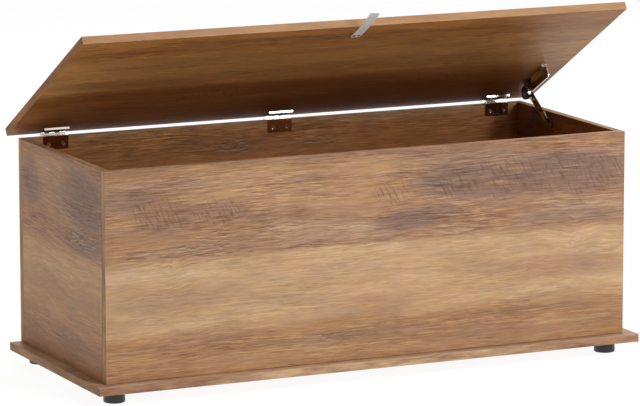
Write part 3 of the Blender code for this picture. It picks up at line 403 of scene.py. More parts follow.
@dataclass(frozen=True)
class Decor:
    """Wood-effect foil of two printed planks, drawn on the grain map.

    The zones run across the grain from the decor's start, as distances in millimetres and
    colours, and the last one of a plank holds to its end. The seam is where the second plank
    starts. The calm stretch has fainter streaks. Clouds, ticks, cracks and waves lie at their
    marks.
    """

    name: str
    seed: float
    height: float
    seam: float
    calm: tuple[float, float]
    zones: tuple[tuple[float, Tint], ...]
    clouds: tuple[Mark, ...]
    ticks: tuple[Mark, ...]
    cracks: tuple[Mark, ...]
    waves: tuple[Mark, ...] = ()
    # A colour that multiplies the whole print. On the lid's underside and the inner faces it paints their
    # shade, deeper and redder than the print.
    wash_and_shade: Colour = WHITE
    specular: float = 0.26
    dullness: float = 0.46

    def material(self) -> Material:
        """Draw the decor's material.

        Returns:
            The material.
        """
        graph = Surface(self.name)
        along, across = graph.grain_place()
        wander, sway = (
            figure.draw(along, across, self.seed, self.seed * SEED_DRIFT) for figure in (WANDER, SWAY)
        )
        ripple = RIPPLE.draw(along, across, self.seed)
        soft = 1.0 - along.above(*SEAM_FADE)
        seam_line = self.seam + wander * 0.05 * soft + ripple * 0.012 * soft
        plank = across.above(seam_line, SEAM_WIDTH)
        bend = BEND.draw(along, across, self.seed) * self._area(along, across, self.waves) * 0.030
        bent = across + sway * 0.03 + bend
        spot = (along + plank * PLANK_SHIFT, bent, plank * PLANK_LAYER + self.seed)
        broad, streak, line, fibre, blotch, cast, pores = (
            figure.draw(*spot) for figure in (BROAD, STREAK, LINE, FIBRE, BLOTCH, CAST, PORE)
        )
        vein = (streak + fibre * 0.12).near(0.0, 0.030)
        thread = (line + fibre * 0.25).near(0.0, 0.035)

        # Zones of colour across the grain, then the clouds.
        colour = self._zones(graph, across + wander * (0.030 - plank * 0.009 + soft * 0.020), plank)
        ragged = broad * 3.4 + streak * 2.6 + blotch * 1.4
        place = graph.join(along + wander * 0.05, across + sway * 0.02 + wander * 0.006)
        for cloud in self.clouds:
            colour = graph.blend(colour, cloud.tint.value, cloud.mask(place, ragged))

        # Streaks, fine ones in changing strength. Dark streaks are redder.
        calm = across.above(self.calm[0], 0.02) * (1.0 - across.above(self.calm[1], 0.03))
        mood = MOOD.draw(*spot, MOOD_DRIFT).above(0.0, 0.36)
        fine = (1.10 - calm * 0.30 - plank * 0.30) * (0.34 + mood * 1.22)
        tone = broad * BROAD.weight + streak * STREAK.weight + blotch * BLOTCH.weight
        tone = tone * (0.72 + calm * 0.01 + plank * 0.01)
        tone = tone + fine * (line * LINE.weight + fibre * FIBRE.weight)
        tone = tone - (vein * 0.12 + thread * 0.16) * (fine * 0.8 + 0.12) + 0.04
        colour = graph.times(colour, graph.join(1.0 + tone, 1.0 + tone * RUDDY, 1.0 + tone * RUDDY))
        cast = graph.join(1.0 + cast * 0.12 + blotch * 0.10, 1.0 - blotch * 0.05, 1.0 - cast * 0.45)
        colour = graph.times(graph.times(colour, cast), self.wash_and_shade)

        # Pores, ticks, cracks with a pale lower lip, and the seam's fine dark line.
        pores = pores.above(0.12, 0.12) * (0.04 + fine * 0.34)
        cracked = self._area(along, across, self.cracks)
        lip = self._split(along, bent - LIP_SHIFT, cracked)
        colour = graph.blend(colour, Tint.LIP.value, lip * 0.40)
        dark = pores + self._ticks(graph, along, across) + self._split(along, bent, cracked) * 0.66
        dark = dark + (1.0 - soft * 0.8) * 0.20 * across.near(seam_line, SEAM_SHADE)
        return graph.dress(
            Base_Color=graph.blend(colour, Tint.PORE.value, dark.smallest(0.75)),
            Roughness=self.dullness - broad * 0.10 + fibre * 0.16 + pores * 0.2,
            Specular_IOR_Level=self.specular,
            Normal=graph.relief(0.5 + streak * 0.5 + fibre * 0.5 - pores, 0.00012, 0.35),
        )

    def _zones(self, graph: Surface, across: Value, plank: Value) -> Value:
        """Return the colour of the zones across the grain.

        Args:
            graph: The material's tree.
            across: Place across the grain.
            plank: 0 on the first plank and 1 on the second.

        Returns:
            The colour, from one ramp for each plank.
        """
        ramps = []
        for first in (True, False):
            stops = [
                (min(place / PER_METRE / self.height, 1.0), tint.value)
                for place, tint in self.zones if (place / PER_METRE <= self.seam) == first
            ]
            ramps.append(graph.made("ShaderNodeValToRGB", stops=stops, Fac=across / self.height))
        return graph.blend(*ramps, plank)

    def _area(self, along: Value, across: Value, places: Iterable[Mark]) -> Value:
        """Return one mask for several marks."""
        place, ragged = along.graph.join(along, across), RAGGED.draw(along, across, self.seed) * 4.0
        return reduce(Value.largest, (mark.mask(place, ragged) for mark in places), along * 0.0)

    def _ticks(self, graph: Surface, along: Value, across: Value) -> Value:
        """Return short slanted saw marks."""
        place = graph.join(along, across)
        turned = graph.made("ShaderNodeMapping", Vector=place, Rotation=(0.0, 0.0, TICK_SLANT))
        tick = TICK.draw(*graph.split(turned)[:2], self.seed).above(0.06, 0.14)
        return tick * self._area(along, across, self.ticks) * 0.52

    def _split(self, along: Value, across: Value, area: Value) -> Value:
        """Return short fine cracks along the grain, within an area and thinly spread elsewhere."""
        crack = CRACK.draw(along, across, self.seed)
        return crack.above(0.20 - area * 0.13, 0.10) * (0.35 + area * 0.65)


@dataclass(frozen=True)
class EdgeBand:
    """Edging glued round the boards, streaked along the edge.

    With a stretch given, as its middle and half its length in metres, the band is pale there and
    deep towards its ends.
    """

    name: str = "edge band"
    tint: Colour = (0.440, 0.256, 0.134)
    deep: Colour = (0.355, 0.196, 0.100)
    stretch: tuple[float, float] | None = None
    contrast: float = 1.0

    def material(self) -> Material:
        """Draw the edging's material.

        Returns:
            The material.
        """
        graph = Surface(self.name)
        along, across = graph.grain_place()
        broad, fine = (figure.draw(along, across) for figure in (EDGE_STREAK, EDGE_FIBRE))
        depth = EDGE_BLOTCH.draw(along, across, drift=EDGE_DRIFT).above(0.02, 0.20)
        if self.stretch:
            middle, half = self.stretch
            depth = depth * 0.4 + (along - middle).size().above(half, half * 0.8)
        colour = graph.blend(self.tint, self.deep, depth.smallest(1.0))
        tone = (broad * EDGE_STREAK.weight + fine * EDGE_FIBRE.weight) * self.contrast
        return graph.dress(
            Base_Color=graph.times(colour, graph.join(1.0 + tone, 1.0 + tone * 1.2, 1.0 + tone * 1.2)),
            Roughness=0.52 + fine * 0.2,
            Specular_IOR_Level=0.16,
            Normal=graph.relief(fine + 0.5, 0.0001, 0.3),
        )


@dataclass(frozen=True)
class Metal:
    """Plated or bare metal, with fine brushing along one direction and faint handling marks."""

    name: str
    tint: Colour
    roughness: float
    brushing: float
    brush_scale: tuple[float, float, float]
    smudges: float = 0.08
    bareness: float = 1.0

    def material(self) -> Material:
        """Draw the metal's material.

        Returns:
            The material.
        """
        graph = Surface(self.name)
        place = graph.object_place()
        lines = graph.noise(graph.times(place, self.brush_scale), 2.0)
        smudge = graph.noise(graph.scaled(place, 70.0), 3.0, distortion=0.8)
        return graph.dress(
            Base_Color=graph.scaled(self.tint, 1.0 + lines * self.brushing + smudge * self.smudges),
            Metallic=self.bareness,
            Roughness=self.roughness + lines * self.brushing * 0.5 + smudge * 0.05,
            Normal=graph.relief(lines + 0.5, 0.00004, self.brushing),
        )


@dataclass(frozen=True)
class Plastic:
    """Moulded plastic with a fine grain and a little wear on its gloss."""

    name: str
    tint: Colour
    roughness: float

    def material(self) -> Material:
        """Draw the plastic's material.

        Returns:
            The material.
        """
        graph = Surface(self.name)
        grain, rub = (
            graph.noise(graph.scaled(graph.object_place(), scale), detail)
            for scale, detail in ((900.0, 2.0), (55.0, 3.0))
        )
        return graph.dress(
            Base_Color=graph.scaled(self.tint, 1.0 + rub * 0.7 + grain * 0.3),
            Roughness=self.roughness + rub * 0.18 + grain * 0.1,
            Normal=graph.relief(grain + 0.5, 0.00006, 0.4),
        )


FRONT_DECOR = Decor(
    name="front decor", seed=2.0, height=0.379, seam=0.165, calm=(0.17, 0.3),
    zones=(
        (0, Tint.UMBER), (14, Tint.RUST), (30, Tint.CLAY), (90, Tint.CLAY), (125, Tint.RUST),
        (164, Tint.CLAY), (166, Tint.HONEY), (178, Tint.SAND), (285, Tint.SAND), (312, Tint.AMBER),
        (379, Tint.AMBER),
    ),
    clouds=marks(
        (110, 78, 120, 42, 0.85, Tint.UMBER), (45, 52, 45, 16, 0.8, Tint.DUSK),
        (20, 95, 35, 18, 0.6, Tint.HONEY), (200, 52, 60, 16, 0.75, Tint.HONEY),
        (690, 18, 150, 16, 0.55, Tint.DUSK), (430, 48, 200, 36, 0.85, Tint.HONEY, 2.0),
        (560, 85, 90, 30, 0.45, Tint.RUST), (700, 66, 75, 30, 1.0, Tint.SMOKE),
        (860, 72, 150, 38, 1.0, Tint.DUSK), (900, 45, 110, 12, 0.55, Tint.SMOKE),
        (800, 118, 160, 14, 0.55, Tint.CLAY), (605, 132, 85, 17, 0.85, Tint.SMOKE, -3.0),
        (930, 138, 115, 20, 0.75, Tint.FAWN), (925, 150, 105, 10, 0.55, Tint.DUSK),
        (410, 136, 110, 20, 0.7, Tint.FAWN), (330, 106, 60, 10, 0.45, Tint.UMBER),
        (215, 142, 80, 18, 0.32, Tint.UMBER), (480, 178, 120, 7, 0.45, Tint.PALE),
        (780, 188, 220, 16, 0.22, Tint.PALE), (125, 240, 110, 18, 0.55, Tint.CLAY),
        (110, 186, 150, 14, 0.45, Tint.PALE), (900, 242, 120, 18, 0.7, Tint.CLAY),
        (760, 228, 60, 10, 0.5, Tint.HONEY), (430, 236, 90, 8, 0.5, Tint.HONEY),
        (520, 286, 60, 18, 0.55, Tint.RUST), (445, 333, 62, 10, 0.6, Tint.BARK),
        (560, 328, 75, 11, 0.6, Tint.UMBER), (300, 350, 140, 20, 0.55, Tint.HONEY),
        (160, 318, 120, 7, 0.55, Tint.UMBER, -1.5), (250, 334, 130, 6, 0.4, Tint.UMBER),
        (860, 318, 130, 6, 0.55, Tint.UMBER, 1.5), (950, 342, 90, 10, 0.45, Tint.UMBER),
        (760, 340, 70, 8, 0.35, Tint.DUSK), (40, 294, 60, 5, 0.55, Tint.SAND),
        (720, 362, 200, 12, 0.5, Tint.CLAY), (820, 318, 130, 7, 0.45, Tint.UMBER),
        (930, 338, 90, 6, 0.35, Tint.SAND), (760, 352, 100, 5, 0.35, Tint.UMBER),
    ),
    ticks=marks(
        (100, 82, 50, 28), (215, 88, 38, 22), (560, 78, 30, 20), (780, 68, 80, 30), (940, 70, 90, 32),
        (690, 70, 40, 22),
    ),
    cracks=marks(
        (205, 142, 62, 18), (330, 120, 40, 12, 0.6), (450, 330, 50, 10, 0.8), (640, 98, 60, 12, 0.6),
        (300, 160, 50, 8, 0.6),
    ),
    waves=marks(
        (90, 215, 110, 50), (930, 215, 110, 55), (440, 130, 120, 30, 0.5), (180, 325, 100, 30, 0.5),
    ),
)

SIDE_DECOR = Decor(
    name="side decor", seed=5.0, height=0.379, seam=0.164, calm=(0.17, 0.3),
    zones=(
        (0, Tint.UMBER), (14, Tint.RUST), (30, Tint.CLAY), (90, Tint.CLAY), (125, Tint.RUST),
        (164, Tint.CLAY), (166, Tint.HONEY), (178, Tint.SAND), (225, Tint.SAND), (275, Tint.HONEY),
        (315, Tint.RUST), (350, Tint.CHESTNUT), (379, Tint.CHESTNUT),
    ),
    clouds=marks(
        (45, 66, 42, 38, 0.8, Tint.SMOKE), (145, 50, 70, 32, 0.6, Tint.HONEY),
        (300, 64, 85, 46, 0.95, Tint.SMOKE), (300, 140, 95, 19, 0.7, Tint.SMOKE),
        (120, 128, 60, 14, 0.45, Tint.UMBER), (110, 236, 90, 18, 0.5, Tint.CLAY),
        (320, 244, 70, 18, 0.6, Tint.CLAY), (215, 325, 70, 15, 0.55, Tint.BARK),
        (350, 340, 60, 14, 0.5, Tint.UMBER),
    ),
    ticks=marks((320, 70, 60, 34), (60, 70, 30, 26)),
    cracks=marks((280, 142, 70, 14), (210, 325, 50, 10, 0.8)),
    waves=marks((100, 225, 80, 50), (320, 230, 60, 40)),
    wash_and_shade=(0.95, 0.865, 0.765),
)

# The lid's underside. Its red-brown multiplier, the chestnut zones from 285 mm back to the hinge and the
# coffee clouds at the right rear paint the shade under the open lid, over the print's own darker second
# plank.
LID_DECOR = Decor(
    name="lid decor", seed=11.0, height=0.434, seam=0.246, calm=(0.09, 0.236),
    zones=(
        (0, Tint.AMBER), (18, Tint.AMBER), (50, Tint.RUST), (70, Tint.RUST), (88, Tint.HONEY),
        (150, Tint.SAND), (225, Tint.SAND), (245, Tint.HONEY), (247, Tint.RUST), (285, Tint.CHESTNUT),
        (434, Tint.CHESTNUT),
    ),
    clouds=marks(
        (495, 40, 60, 10, 0.75, Tint.BARK), (625, 40, 32, 9, 0.65, Tint.BARK),
        (250, 52, 110, 12, 0.6, Tint.UMBER), (320, 32, 120, 7, 0.55, Tint.BARK),
        (760, 46, 110, 7, 0.5, Tint.BARK), (120, 60, 70, 10, 0.4, Tint.BARK),
        (450, 105, 140, 9, 0.45, Tint.UMBER), (140, 205, 140, 15, 0.5, Tint.UMBER),
        (820, 30, 120, 12, 0.5, Tint.CLAY), (160, 120, 120, 24, 0.5, Tint.CLAY),
        (700, 190, 200, 22, 0.4, Tint.CLAY), (640, 290, 200, 22, 0.35, Tint.BARK),
        (330, 345, 240, 60, 0.9, Tint.RUST), (800, 262, 140, 22, 0.6, Tint.AMBER),
        (780, 375, 340, 55, 1.0, Tint.COFFEE), (620, 280, 160, 30, 0.4, Tint.COFFEE),
    ),
    ticks=marks((350, 295, 70, 26), (820, 300, 80, 28)),
    cracks=marks((500, 40, 50, 10), (260, 330, 60, 12)),
    waves=marks((150, 150, 140, 70), (780, 160, 160, 70)),
    wash_and_shade=(1.01, 0.81, 0.48), specular=0.2, dullness=0.42,
)

# The front and back boards' inner faces. The pale ash strip where the grain map starts, their top edge, is a
# painted highlight, and their red-brown multiplier paints the shade inside the box. Base and lid top take
# this print with plain multipliers.
INNER_DECOR = Decor(
    name="inner decor", seed=17.0, height=0.434, seam=0.182, calm=(0.19, 0.3),
    zones=(
        (0, Tint.ASH), (4, Tint.ASH), (14, Tint.CLAY), (45, Tint.CLAY), (90, Tint.RUST), (181, Tint.CLAY),
        (183, Tint.SAND), (290, Tint.HONEY), (330, Tint.RUST), (434, Tint.CLAY),
    ),
    clouds=marks(
        (430, 45, 80, 12, 0.6, Tint.DUSK), (590, 45, 60, 10, 0.4, Tint.DUSK),
        (350, 4, 300, 12, 0.3, Tint.PALE), (220, 30, 120, 18, 0.4, Tint.HONEY),
        (600, 36, 100, 26, 0.5, Tint.RUST), (830, 48, 130, 34, 0.55, Tint.CHESTNUT),
        (300, 110, 180, 24, 0.6, Tint.DUSK), (850, 120, 140, 26, 0.6, Tint.SMOKE),
        (500, 350, 120, 16, 0.6, Tint.UMBER),
    ),
    ticks=marks((300, 110, 80, 26)),
    cracks=marks((430, 44, 60, 12), (590, 43, 45, 10), (500, 350, 60, 10)),
    wash_and_shade=(1.03, 0.81, 0.49),
)

BASE_DECOR = replace(INNER_DECOR, name="base decor", seed=23.0, wash_and_shade=(0.94, 0.95, 0.92))
TOP_DECOR = replace(INNER_DECOR, name="lid top decor", seed=31.0, wash_and_shade=(1.0, 0.98, 0.95))
# The side boards' inner faces, whose deep red-brown multiplier paints the shade inside the box.
WALL_DECOR = replace(SIDE_DECOR, name="inner side decor", wash_and_shade=(0.94, 0.66, 0.36))
EDGING = EdgeBand()
RIM_EDGING = EdgeBand("rim edge band", (0.465, 0.280, 0.166), (0.400, 0.220, 0.121))
BASE_EDGING = EdgeBand("base edge band", (0.545, 0.342, 0.194), (0.390, 0.213, 0.119), (0.53, 0.30))
BASE_END_EDGING = EdgeBand("base end edge band", (0.355, 0.192, 0.092), (0.287, 0.150, 0.070))
LID_EDGING = EdgeBand("lid edge band", (0.430, 0.235, 0.112), (0.395, 0.212, 0.100), contrast=0.40)
LID_END_EDGING = EdgeBand("lid end edge band", (0.298, 0.124, 0.034), (0.242, 0.098, 0.024))
NICKEL = Metal("plated nickel", (0.78, 0.75, 0.71), 0.07, 0.05, (240.0, 60.0, 60.0), 0.05)
LEAF_NICKEL = Metal("leaf nickel", (0.90, 0.88, 0.82), 0.06, 0.05, (30.0, 300.0, 300.0), 0.05)
# The lid leaves' nickel: a darker, warmer copy of the body leaves' nickel that paints the shade under the
# lid.
SHADED_LID_LEAF_NICKEL = Metal("lid leaf nickel", (0.64, 0.57, 0.53), 0.12, 0.05, (30.0, 300.0, 300.0), 0.05)
# The arm's nickel, darkened and browned to paint the shade inside the box where it hangs.
SHADED_ARM_NICKEL = Metal("shaded arm nickel", (0.44, 0.38, 0.31), 0.10, 0.05, (240.0, 60.0, 60.0), 0.05)
BRUSHED_NICKEL = Metal("brushed nickel", (0.95, 0.93, 0.90), 0.36, 0.22, (1500.0, 40.0, 40.0), 0.08, 0.22)
# The track plate's steel, darkened to paint the shade on the right board's inner face.
SHADED_TRACK_STEEL = Metal("shaded track steel", (0.20, 0.165, 0.14), 0.22, 0.10, (300.0, 300.0, 300.0))
# Screws and the stay pin: dark, brown-tinted steel that paints shade and the wood's reflection into their
# heads.
SHADED_SCREW_STEEL = Metal("screw steel", (0.17, 0.108, 0.066), 0.38, 0.12, (500.0, 500.0, 500.0))
ZINC = Metal("cast zinc", (0.52, 0.52, 0.51), 0.45, 0.30, (420.0, 420.0, 420.0), 0.2)
FOOT_PLASTIC = Plastic("foot plastic", (0.014, 0.014, 0.015), 0.36)
CAP_PLASTIC = Plastic("damper cap plastic", (0.016, 0.011, 0.009), 0.30)

Finish = Decor | EdgeBand | Metal | Plastic


@cache
def material_of(finish: Finish) -> Material:
    """Return a finish's material, drawn once."""
    return finish.material()


# ---- making pieces

# A turn from Z to X, how deep a screw's head face reaches, and what keeps flat faces flat.
SIDEWAYS = Matrix.Rotation(QUARTER_TURN, 4, "Y")
HEAD_FACE = 1e-5
FULL_WEIGHT = 100
EVEN_WEIGHT = 0.01


def shown(name: str, data: bpy.types.ID, place: Matrix | None = None) -> Object:
    """Put a mesh, lamp or camera into the scene.

    Args:
        name: Its name.
        data: The mesh, lamp or camera.
        place: Where it stands, if that isn't the origin.

    Returns:
        Its object.
    """
    data.name = name
    obj = bpy.data.objects.new(name, data)
    bpy.context.scene.collection.objects.link(obj)
    if place is not None:
        obj.matrix_world = place
    return obj


def evaluated_mesh(obj: Object) -> Mesh:
    """Return the plain mesh that an object's modifiers make, and remove the object.

    Args:
        obj: The object, which isn't needed any more.

    Returns:
        The mesh.
    """
    mesh = bpy.data.meshes.new_from_object(obj.evaluated_get(bpy.context.evaluated_depsgraph_get()))
    bpy.data.objects.remove(obj, do_unlink=True)
    return mesh


def settle(piece: Object, body: Body, nodes: Sequence[str]) -> None:
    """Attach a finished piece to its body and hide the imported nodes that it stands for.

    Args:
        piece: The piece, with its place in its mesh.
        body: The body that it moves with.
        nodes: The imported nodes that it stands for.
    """
    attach(piece, body.value)
    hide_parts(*nodes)
    LOG.info("%s: %d faces, for %d nodes", piece.name, len(piece.data.polygons), len(nodes))


def span(points: Iterable[Vector]) -> tuple[Vector, Vector]:
    """Return the lowest and the highest corner round some points."""
    rows = list(zip(*points))
    return Vector([min(row) for row in rows]), Vector([max(row) for row in rows])


def low_face(node: str, axis: Axis) -> Vector:
    """Return the middle of the low side, along an axis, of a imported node's box."""
    low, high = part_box(node)
    place = (low + high) / 2
    place[axis.value] = low[axis.value]
    return place


def merged_copy(node: str) -> bmesh.types.BMesh:
    """Return a joined-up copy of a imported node's loose triangles."""
    shape = bmesh.new()
    shape.from_mesh(frame["nodes"][node].data)
    bmesh.ops.remove_doubles(shape, verts=shape.verts, dist=MERGE_DISTANCE)
    return shape


def closed_mesh(shape: bmesh.types.BMesh, name: str) -> Mesh:
    """Turn a closed shape into a mesh whose faces point outwards.

    Args:
        shape: The shape, which is freed.
        name: The mesh's name.

    Returns:
        The mesh.
    """
    bmesh.ops.remove_doubles(shape, verts=shape.verts, dist=MERGE_DISTANCE)
    bmesh.ops.recalc_face_normals(shape, faces=shape.faces)
    mesh = bpy.data.meshes.new(name)
    shape.to_mesh(mesh)
    shape.free()
    return mesh


def ease(
    node: str, finish: Finish, width: float, body: Body, segments: int = 2
) -> None:
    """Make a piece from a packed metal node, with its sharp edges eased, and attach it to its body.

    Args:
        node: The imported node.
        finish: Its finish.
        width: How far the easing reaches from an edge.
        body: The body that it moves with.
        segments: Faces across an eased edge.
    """
    shape = merged_copy(node)
    bmesh.ops.dissolve_limit(shape, angle_limit=FLAT_ANGLE, verts=shape.verts, edges=shape.edges)
    blank = shown(node + " blank", closed_mesh(shape, node))
    blank.data.shade_smooth()
    bevel = blank.modifiers.new("eased edges", "BEVEL")
    bevel.width = width
    bevel.segments = segments
    bevel.limit_method = "ANGLE"
    bevel.angle_limit = SMOOTH_ANGLE
    weights = blank.modifiers.new("flat faces stay flat", "WEIGHTED_NORMAL")
    weights.weight = FULL_WEIGHT
    weights.thresh = EVEN_WEIGHT
    piece = shown("dressed_" + node, evaluated_mesh(blank))
    piece.data.materials.clear()
    piece.data.materials.append(material_of(finish))
    settle(piece, body, [node])


def dress_node(node: str, finish: Finish) -> None:
    """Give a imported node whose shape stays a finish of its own."""
    for entry in frame["nodes"][node].material_slots:
        entry.material = material_of(finish)


@dataclass(frozen=True)
class Spot:
    """A place and a turn for a repeated piece, whose own axis is Z."""

    place: Vector
    turn: Matrix

    @staticmethod
    def at_head(node: str, axis: Vector, turned: float) -> "Spot":
        """Return the spot at the head of a packed screw.

        Args:
            node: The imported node.
            axis: The direction that its head faces.
            turned: Degrees that its cross is turned by.

        Returns:
            The spot.
        """
        points = [vertex.co for vertex in frame["nodes"][node].data.vertices]
        top = max(point.dot(axis) for point in points)
        low, high = span(point for point in points if point.dot(axis) > top - HEAD_FACE)
        turn = Matrix.Rotation(math.radians(turned), 4, "Z")
        return Spot((low + high) / 2, axis.to_track_quat("Z", "X").to_matrix().to_4x4() @ turn)


@dataclass
class Recipe:
    """A Geometry Nodes tree that repeats a shape at spots, and the pieces that it makes."""

    name: str
    sockets: dict[str, str]
    graph: Graph = field(init=False)
    start: Node = field(init=False)

    def __post_init__(self) -> None:
        """Make the tree and its inputs."""
        tree = bpy.data.node_groups.new(self.name, "GeometryNodeTree")
        tree.interface.new_socket(name="Geometry", in_out="OUTPUT", socket_type="NodeSocketGeometry")
        sockets = {"Geometry": "Geometry", "Spots": "Object", "Finish": "Material", **self.sockets}
        for name, kind in sockets.items():
            tree.interface.new_socket(name=name, in_out="INPUT", socket_type="NodeSocket" + kind)
        self.graph = Graph(tree)
        self.start = self.graph.node("NodeGroupInput")

    def given(self, name: str) -> Value:
        """Return one of the tree's named inputs."""
        return Value(self.graph, self.start.outputs[name])

    def finish(self, geometry: Value) -> None:
        """End the tree: repeat a geometry, realize the instances and set the material.

        Args:
            geometry: What is repeated at each spot.
        """
        graph = self.graph
        spots = graph.node("GeometryNodeObjectInfo", Object=self.given("Spots"))
        turn = graph.node("GeometryNodeInputNamedAttribute", data_type="FLOAT_VECTOR", Name=TURN_ATTRIBUTE)
        repeated = graph.made(
            "GeometryNodeInstanceOnPoints", Points=graph.output(spots, "Geometry"), Instance=geometry,
            Rotation=graph.output(turn, "Attribute"),
        )
        real = graph.made("GeometryNodeRealizeInstances", Geometry=repeated)
        done = graph.made("GeometryNodeSetMaterial", Geometry=real, Material=self.given("Finish"))
        graph.node("NodeGroupOutput", Geometry=done)

    def make(
        self, name: str, spots: Sequence[Spot], finish: Finish, outline: Outline = (), **inputs: float
    ) -> Object:
        """Run the tree and return its result as a plain piece.

        Args:
            name: The piece's name.
            spots: Where the shape is repeated.
            finish: Its finish.
            outline: For a turned piece, its profile as radii and heights.
            inputs: Values of the tree's other inputs, with underscores for blanks.

        Returns:
            The piece.
        """
        places = bpy.data.meshes.new(name)
        places.from_pydata([spot.place for spot in spots], [], [])
        turns = places.attributes.new(TURN_ATTRIBUTE, "FLOAT_VECTOR", "POINT")
        for entry, spot in zip(turns.data, spots):
            entry.vector = spot.turn.to_euler()
        profile = bpy.data.meshes.new(name)
        profile.from_pydata([(radius, 0.0, height) for radius, height in outline], [], [])
        helpers = {"Spots": shown(name + " spots", places), "Profile": shown(name + " profile", profile)}
        inputs |= helpers | {"Rows": len(outline), "Finish": material_of(finish)}
        blank = shown(name + " blank", bpy.data.meshes.new(name))
        modifier = blank.modifiers.new(self.name, "NODES")
        modifier.node_group = self.graph.tree
        for entry in self.graph.tree.interface.items_tree:
            given = entry.name.replace(" ", "_")
            if entry.in_out == "INPUT" and given in inputs:
                modifier[entry.identifier] = inputs[given]
        made = evaluated_mesh(blank)
        for helper in helpers.values():
            bpy.data.objects.remove(helper, do_unlink=True)
        shape = bmesh.new()
        shape.from_mesh(made)
        mesh = closed_mesh(shape, name)
        for material in made.materials:
            mesh.materials.append(material)
        mesh.shade_smooth()
        mesh.set_sharp_from_angle(angle=SMOOTH_ANGLE)
        return shown(name, mesh)


@cache
def turned_recipe() -> Recipe:
    """Draw up, once, the tree that turns a profile about each spot's axis.

    Returns:
        The recipe.
    """
    recipe = Recipe("turned pieces", {"Profile": "Object", "Rows": "Int", "Sides": "Int"})
    graph = recipe.graph
    profile = graph.node("GeometryNodeObjectInfo", Object=recipe.given("Profile"))
    sheet = graph.made(
        "GeometryNodeMeshGrid", Size_X=1.0, Size_Y=1.0,
        Vertices_X=recipe.given("Sides") + 1.0, Vertices_Y=recipe.given("Rows"),
    )
    position = graph.made("GeometryNodeInputPosition")
    x, y, _ = graph.split(position)
    sample = graph.node(
        "GeometryNodeSampleIndex", data_type="FLOAT_VECTOR", domain="POINT", clamp=True,
        Geometry=graph.output(profile, "Geometry"), Value=position,
        Index=graph.maths("ROUND", (y + 0.5) * (recipe.given("Rows") - 1.0)),
    )
    radius, _, height = graph.split(graph.output(sample, "Value"))
    angle = (x + 0.5) * (4 * QUARTER_TURN)
    point = graph.join(radius * graph.maths("COSINE", angle), radius * graph.maths("SINE", angle), height)
    bent = graph.made("GeometryNodeSetPosition", Geometry=sheet, Position=point)
    recipe.finish(graph.made("GeometryNodeMergeByDistance", Geometry=bent, Distance=MERGE_DISTANCE))
    return recipe


@cache
def screw_recipe() -> Recipe:
    """Draw up, once, the tree that puts a countersunk cross-recess screw at every spot.

    Returns:
        The recipe.
    """
    rim, point, point_radius, point_share = 0.00025, 0.0025, 0.0001, 0.8
    sizes = (
        "Head radius", "Head depth", "Shank radius", "Length", "Recess span", "Recess bar", "Recess depth"
    )
    recipe = Recipe("countersunk screws", {"Sides": "Int", **dict.fromkeys(sizes, "Float")})
    graph = recipe.graph
    head, depth, shank, length, wide, bar, recess = (recipe.given(size) for size in sizes)

    def cone(top: Input, bottom: Input, tall: Input, base: Input) -> Value:
        """Return a cone whose lower end is at a height."""
        shape = graph.made(
            "GeometryNodeMeshCone",
            Vertices=recipe.given("Sides"), Radius_Top=top, Radius_Bottom=bottom, Depth=tall,
        )
        return graph.made("GeometryNodeTransform", Geometry=shape, Translation=graph.join(z=base))

    def union(*shapes: Value) -> Value:
        """Return shapes as one solid."""
        parts = graph.node("GeometryNodeJoinGeometry")
        for shape in shapes:
            graph.feed(parts.inputs[0], shape)
        return graph.made("GeometryNodeMeshBoolean", operation="UNION", solver="EXACT", Mesh=parts.outputs[0])

    solid = union(
        cone(head - rim, head, rim, -rim),
        cone(head, shank, depth - rim, 0.0 - depth),
        cone(shank, shank * point_share, length - depth - point, point - length),
        cone(shank * point_share, point_radius, point, 0.0 - length),
    )
    bars = [
        graph.made("GeometryNodeMeshCube", Size=graph.join(*plan, recess * 2.0))
        for plan in ((wide, bar), (bar, wide))
    ]
    recipe.finish(graph.made(
        "GeometryNodeMeshBoolean", operation="DIFFERENCE", solver="EXACT", Mesh_1=solid, Mesh_2=union(*bars)
    ))
    return recipe


def rounding(radius: float, inward: float, upward: float, steps: int) -> Outline:
    """Return a quarter round between an end face and an outer radius.

    Args:
        radius: The outer radius.
        inward: How far the round reaches in from the radius.
        upward: How far it reaches from the end face.
        steps: Faces along it.

    Returns:
        Radii and heights, from the end face outwards.
    """
    angles = [QUARTER_TURN * step / steps for step in range(steps + 1)]
    return [(radius - inward * (1 - math.sin(angle)), upward * (1 - math.cos(angle))) for angle in angles]


# ---- boards


